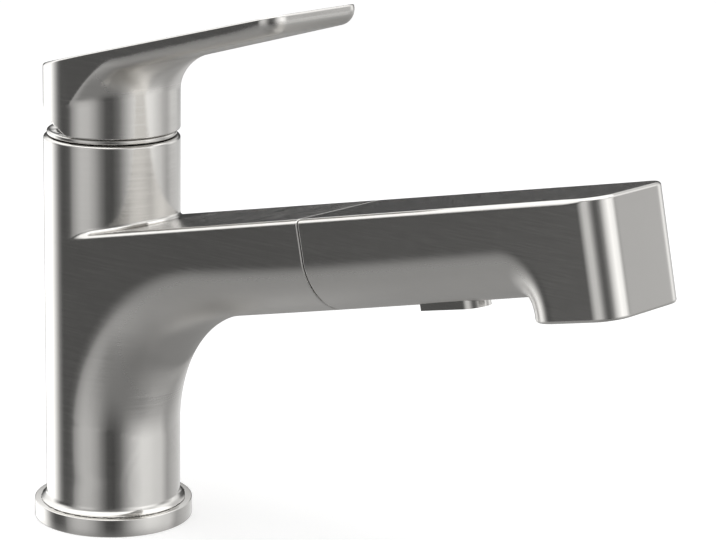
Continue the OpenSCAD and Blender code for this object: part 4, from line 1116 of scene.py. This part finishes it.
# Between the horizon and the roof, which rounded edges show
ABOVE = (
    (-180, 1.6), (-102, 1.6), (-90, 1.1), (-78, 0.6), (-60, 0.6), (-10, 0.25), (7, 0.23),
    (22, 0.58), (31, 1.0), (44, 1.2), (57, 1.11), (71, 0.9), (85, 1.3), (100, 1.5), (115, 1.2),
    (130, 0.8), (150, 0.8), (180, 1.2),
)
# The heights, in a unit direction, over which each table takes over from the one below it
ROOM = (PANELS, -0.6, -0.34), (HORIZON, -0.21, -0.11), (ABOVE, 0.2, 0.4)
ROOF, ROOF_FROM, ROOF_TO = (0.95, 0.95, 0.95, 1), 0.6, 0.7
BRIGHTEST = 2.0  # a ramp holds tones up to 1, so it holds them divided by this


def ramp(nodes, factor, stops):
    """A colour ramp of grey tones, from angles of -180 to 180 degrees carried to 0 to 1."""
    node = nodes.add("ShaderNodeValToRGB", {0: factor})
    node.color_ramp.interpolation = "LINEAR"
    parts = node.color_ramp.elements
    while len(parts) < len(stops):
        parts.new(0.5)
    for part, (turn, tone) in zip(parts, stops):
        grey = tone / BRIGHTEST
        part.position = (turn + 180) / 360
        part.color = (grey, grey, grey, 1)
    return node.outputs[0]


def camera_bearing(nodes, vector):
    """Bearing of a direction from the camera's side, from half a turn left to half a turn right
    carried to 0 to 1."""
    turned = nodes.add("ShaderNodeVectorRotate", {"Vector": vector, "Axis": (0, 0, 1),
                                                  "Angle": CAMERA_SIDE})
    flat = nodes.add("ShaderNodeSeparateXYZ", {0: turned.outputs[0]})
    bearing = nodes.math("ARCTAN2", flat.outputs[1], flat.outputs[0])
    return nodes.span(bearing, 0.0, 1.0, -math.pi, math.pi)


def room_tone(nodes):
    """Colour of the room in a direction: the tables' tones at its bearing, mixed from below to
    the roof by its height."""
    look = nodes.add("ShaderNodeTexCoord").outputs["Generated"]
    height = nodes.add("ShaderNodeSeparateXYZ", {0: look}).outputs[2]
    bearing = camera_bearing(nodes, look)
    tone = ramp(nodes, bearing, BELOW)
    layers = [(ramp(nodes, bearing, stops), low, high) for stops, low, high in ROOM]
    for above, low, high in layers + [(ROOF, ROOF_FROM, ROOF_TO)]:
        tone = nodes.add("ShaderNodeMix", {0: nodes.span(height, 0.0, 1.0, low, high), 6: tone,
                                           7: above}, data_type="RGBA").outputs[2]
    return tone


def set_lights(scene):
    """A soft box overhead and a room whose walls are pale panels with dark gaps between them.
    What the camera sees past the floor is white; metal sees the room."""
    studio = scene.faucet_studio
    lamp = bpy.data.lights.new("Soft box", "AREA")
    lamp.shape = "SQUARE"
    lamp.size = studio.lamp_size
    lamp.energy = studio.lamp
    box = bpy.data.objects.new("Soft box", lamp)
    box.matrix_world = Matrix.Translation((studio.lamp_shift, -studio.lamp_shift,
                                           studio.lamp_height))
    box.visible_glossy = False
    box.visible_camera = False
    scene.collection.objects.link(box)

    world = bpy.data.worlds.new("Studio")
    world.use_nodes = True
    scene.world = world
    nodes = Nodes(world.node_tree)
    glossy = nodes.add("ShaderNodeBackground", {"Color": room_tone(nodes), "Strength": BRIGHTEST})
    soft = nodes.add("ShaderNodeBackground", {"Color": (1, 1, 1, 1), "Strength": studio.level})
    white = nodes.add("ShaderNodeBackground", {"Color": (1, 1, 1, 1), "Strength": 1.0})
    path, seen = seen_direct(nodes)
    metal = nodes.add("ShaderNodeMixShader", {0: path.outputs["Is Glossy Ray"],
                                              1: soft.outputs[0], 2: glossy.outputs[0]})
    final = nodes.add("ShaderNodeMixShader", {0: seen, 1: metal.outputs[0], 2: white.outputs[0]})
    nodes.add("ShaderNodeOutputWorld", {"Surface": final.outputs[0]})


class FAUCET_PT_panel(bpy.types.Panel):
    """Sizes, finishes and the steps that build the faucet"""
    bl_idname = "FAUCET_PT_panel"
    bl_label = "Pull-out Faucet"
    bl_space_type = "VIEW_3D"
    bl_region_type = "UI"
    bl_category = "Faucet"

    def draw(self, context):
        layout = self.layout
        for key, group in GROUPS:
            box = layout.box()
            box.label(text=(group.__doc__ or key))
            for name in group.__annotations__:
                box.prop(getattr(context.scene, key), name)
        for step in STEPS:
            layout.operator(step.bl_idname)


STEPS = (FAUCET_OT_body, FAUCET_OT_wand, FAUCET_OT_handle, FAUCET_OT_rings, FAUCET_OT_finishes,
         FAUCET_OT_stage)
CLASSES = tuple(group for _, group in GROUPS) + STEPS + (FAUCET_PT_panel,)


def register():
    for cls in CLASSES:
        bpy.utils.register_class(cls)
    for key, group in GROUPS:
        setattr(bpy.types.Scene, key, PointerProperty(type=group))


def unregister():
    for key, _ in GROUPS:
        delattr(bpy.types.Scene, key)
    for cls in reversed(CLASSES):
        bpy.utils.unregister_class(cls)


def main():
    """Registers the classes and runs the steps in order."""
    register()
    bpy.ops.faucet.body()
    bpy.ops.faucet.wand()
    bpy.ops.faucet.handle()
    bpy.ops.faucet.rings()
    bpy.ops.faucet.finishes()
    bpy.ops.faucet.stage()


if __name__ == "__main__":
    main()
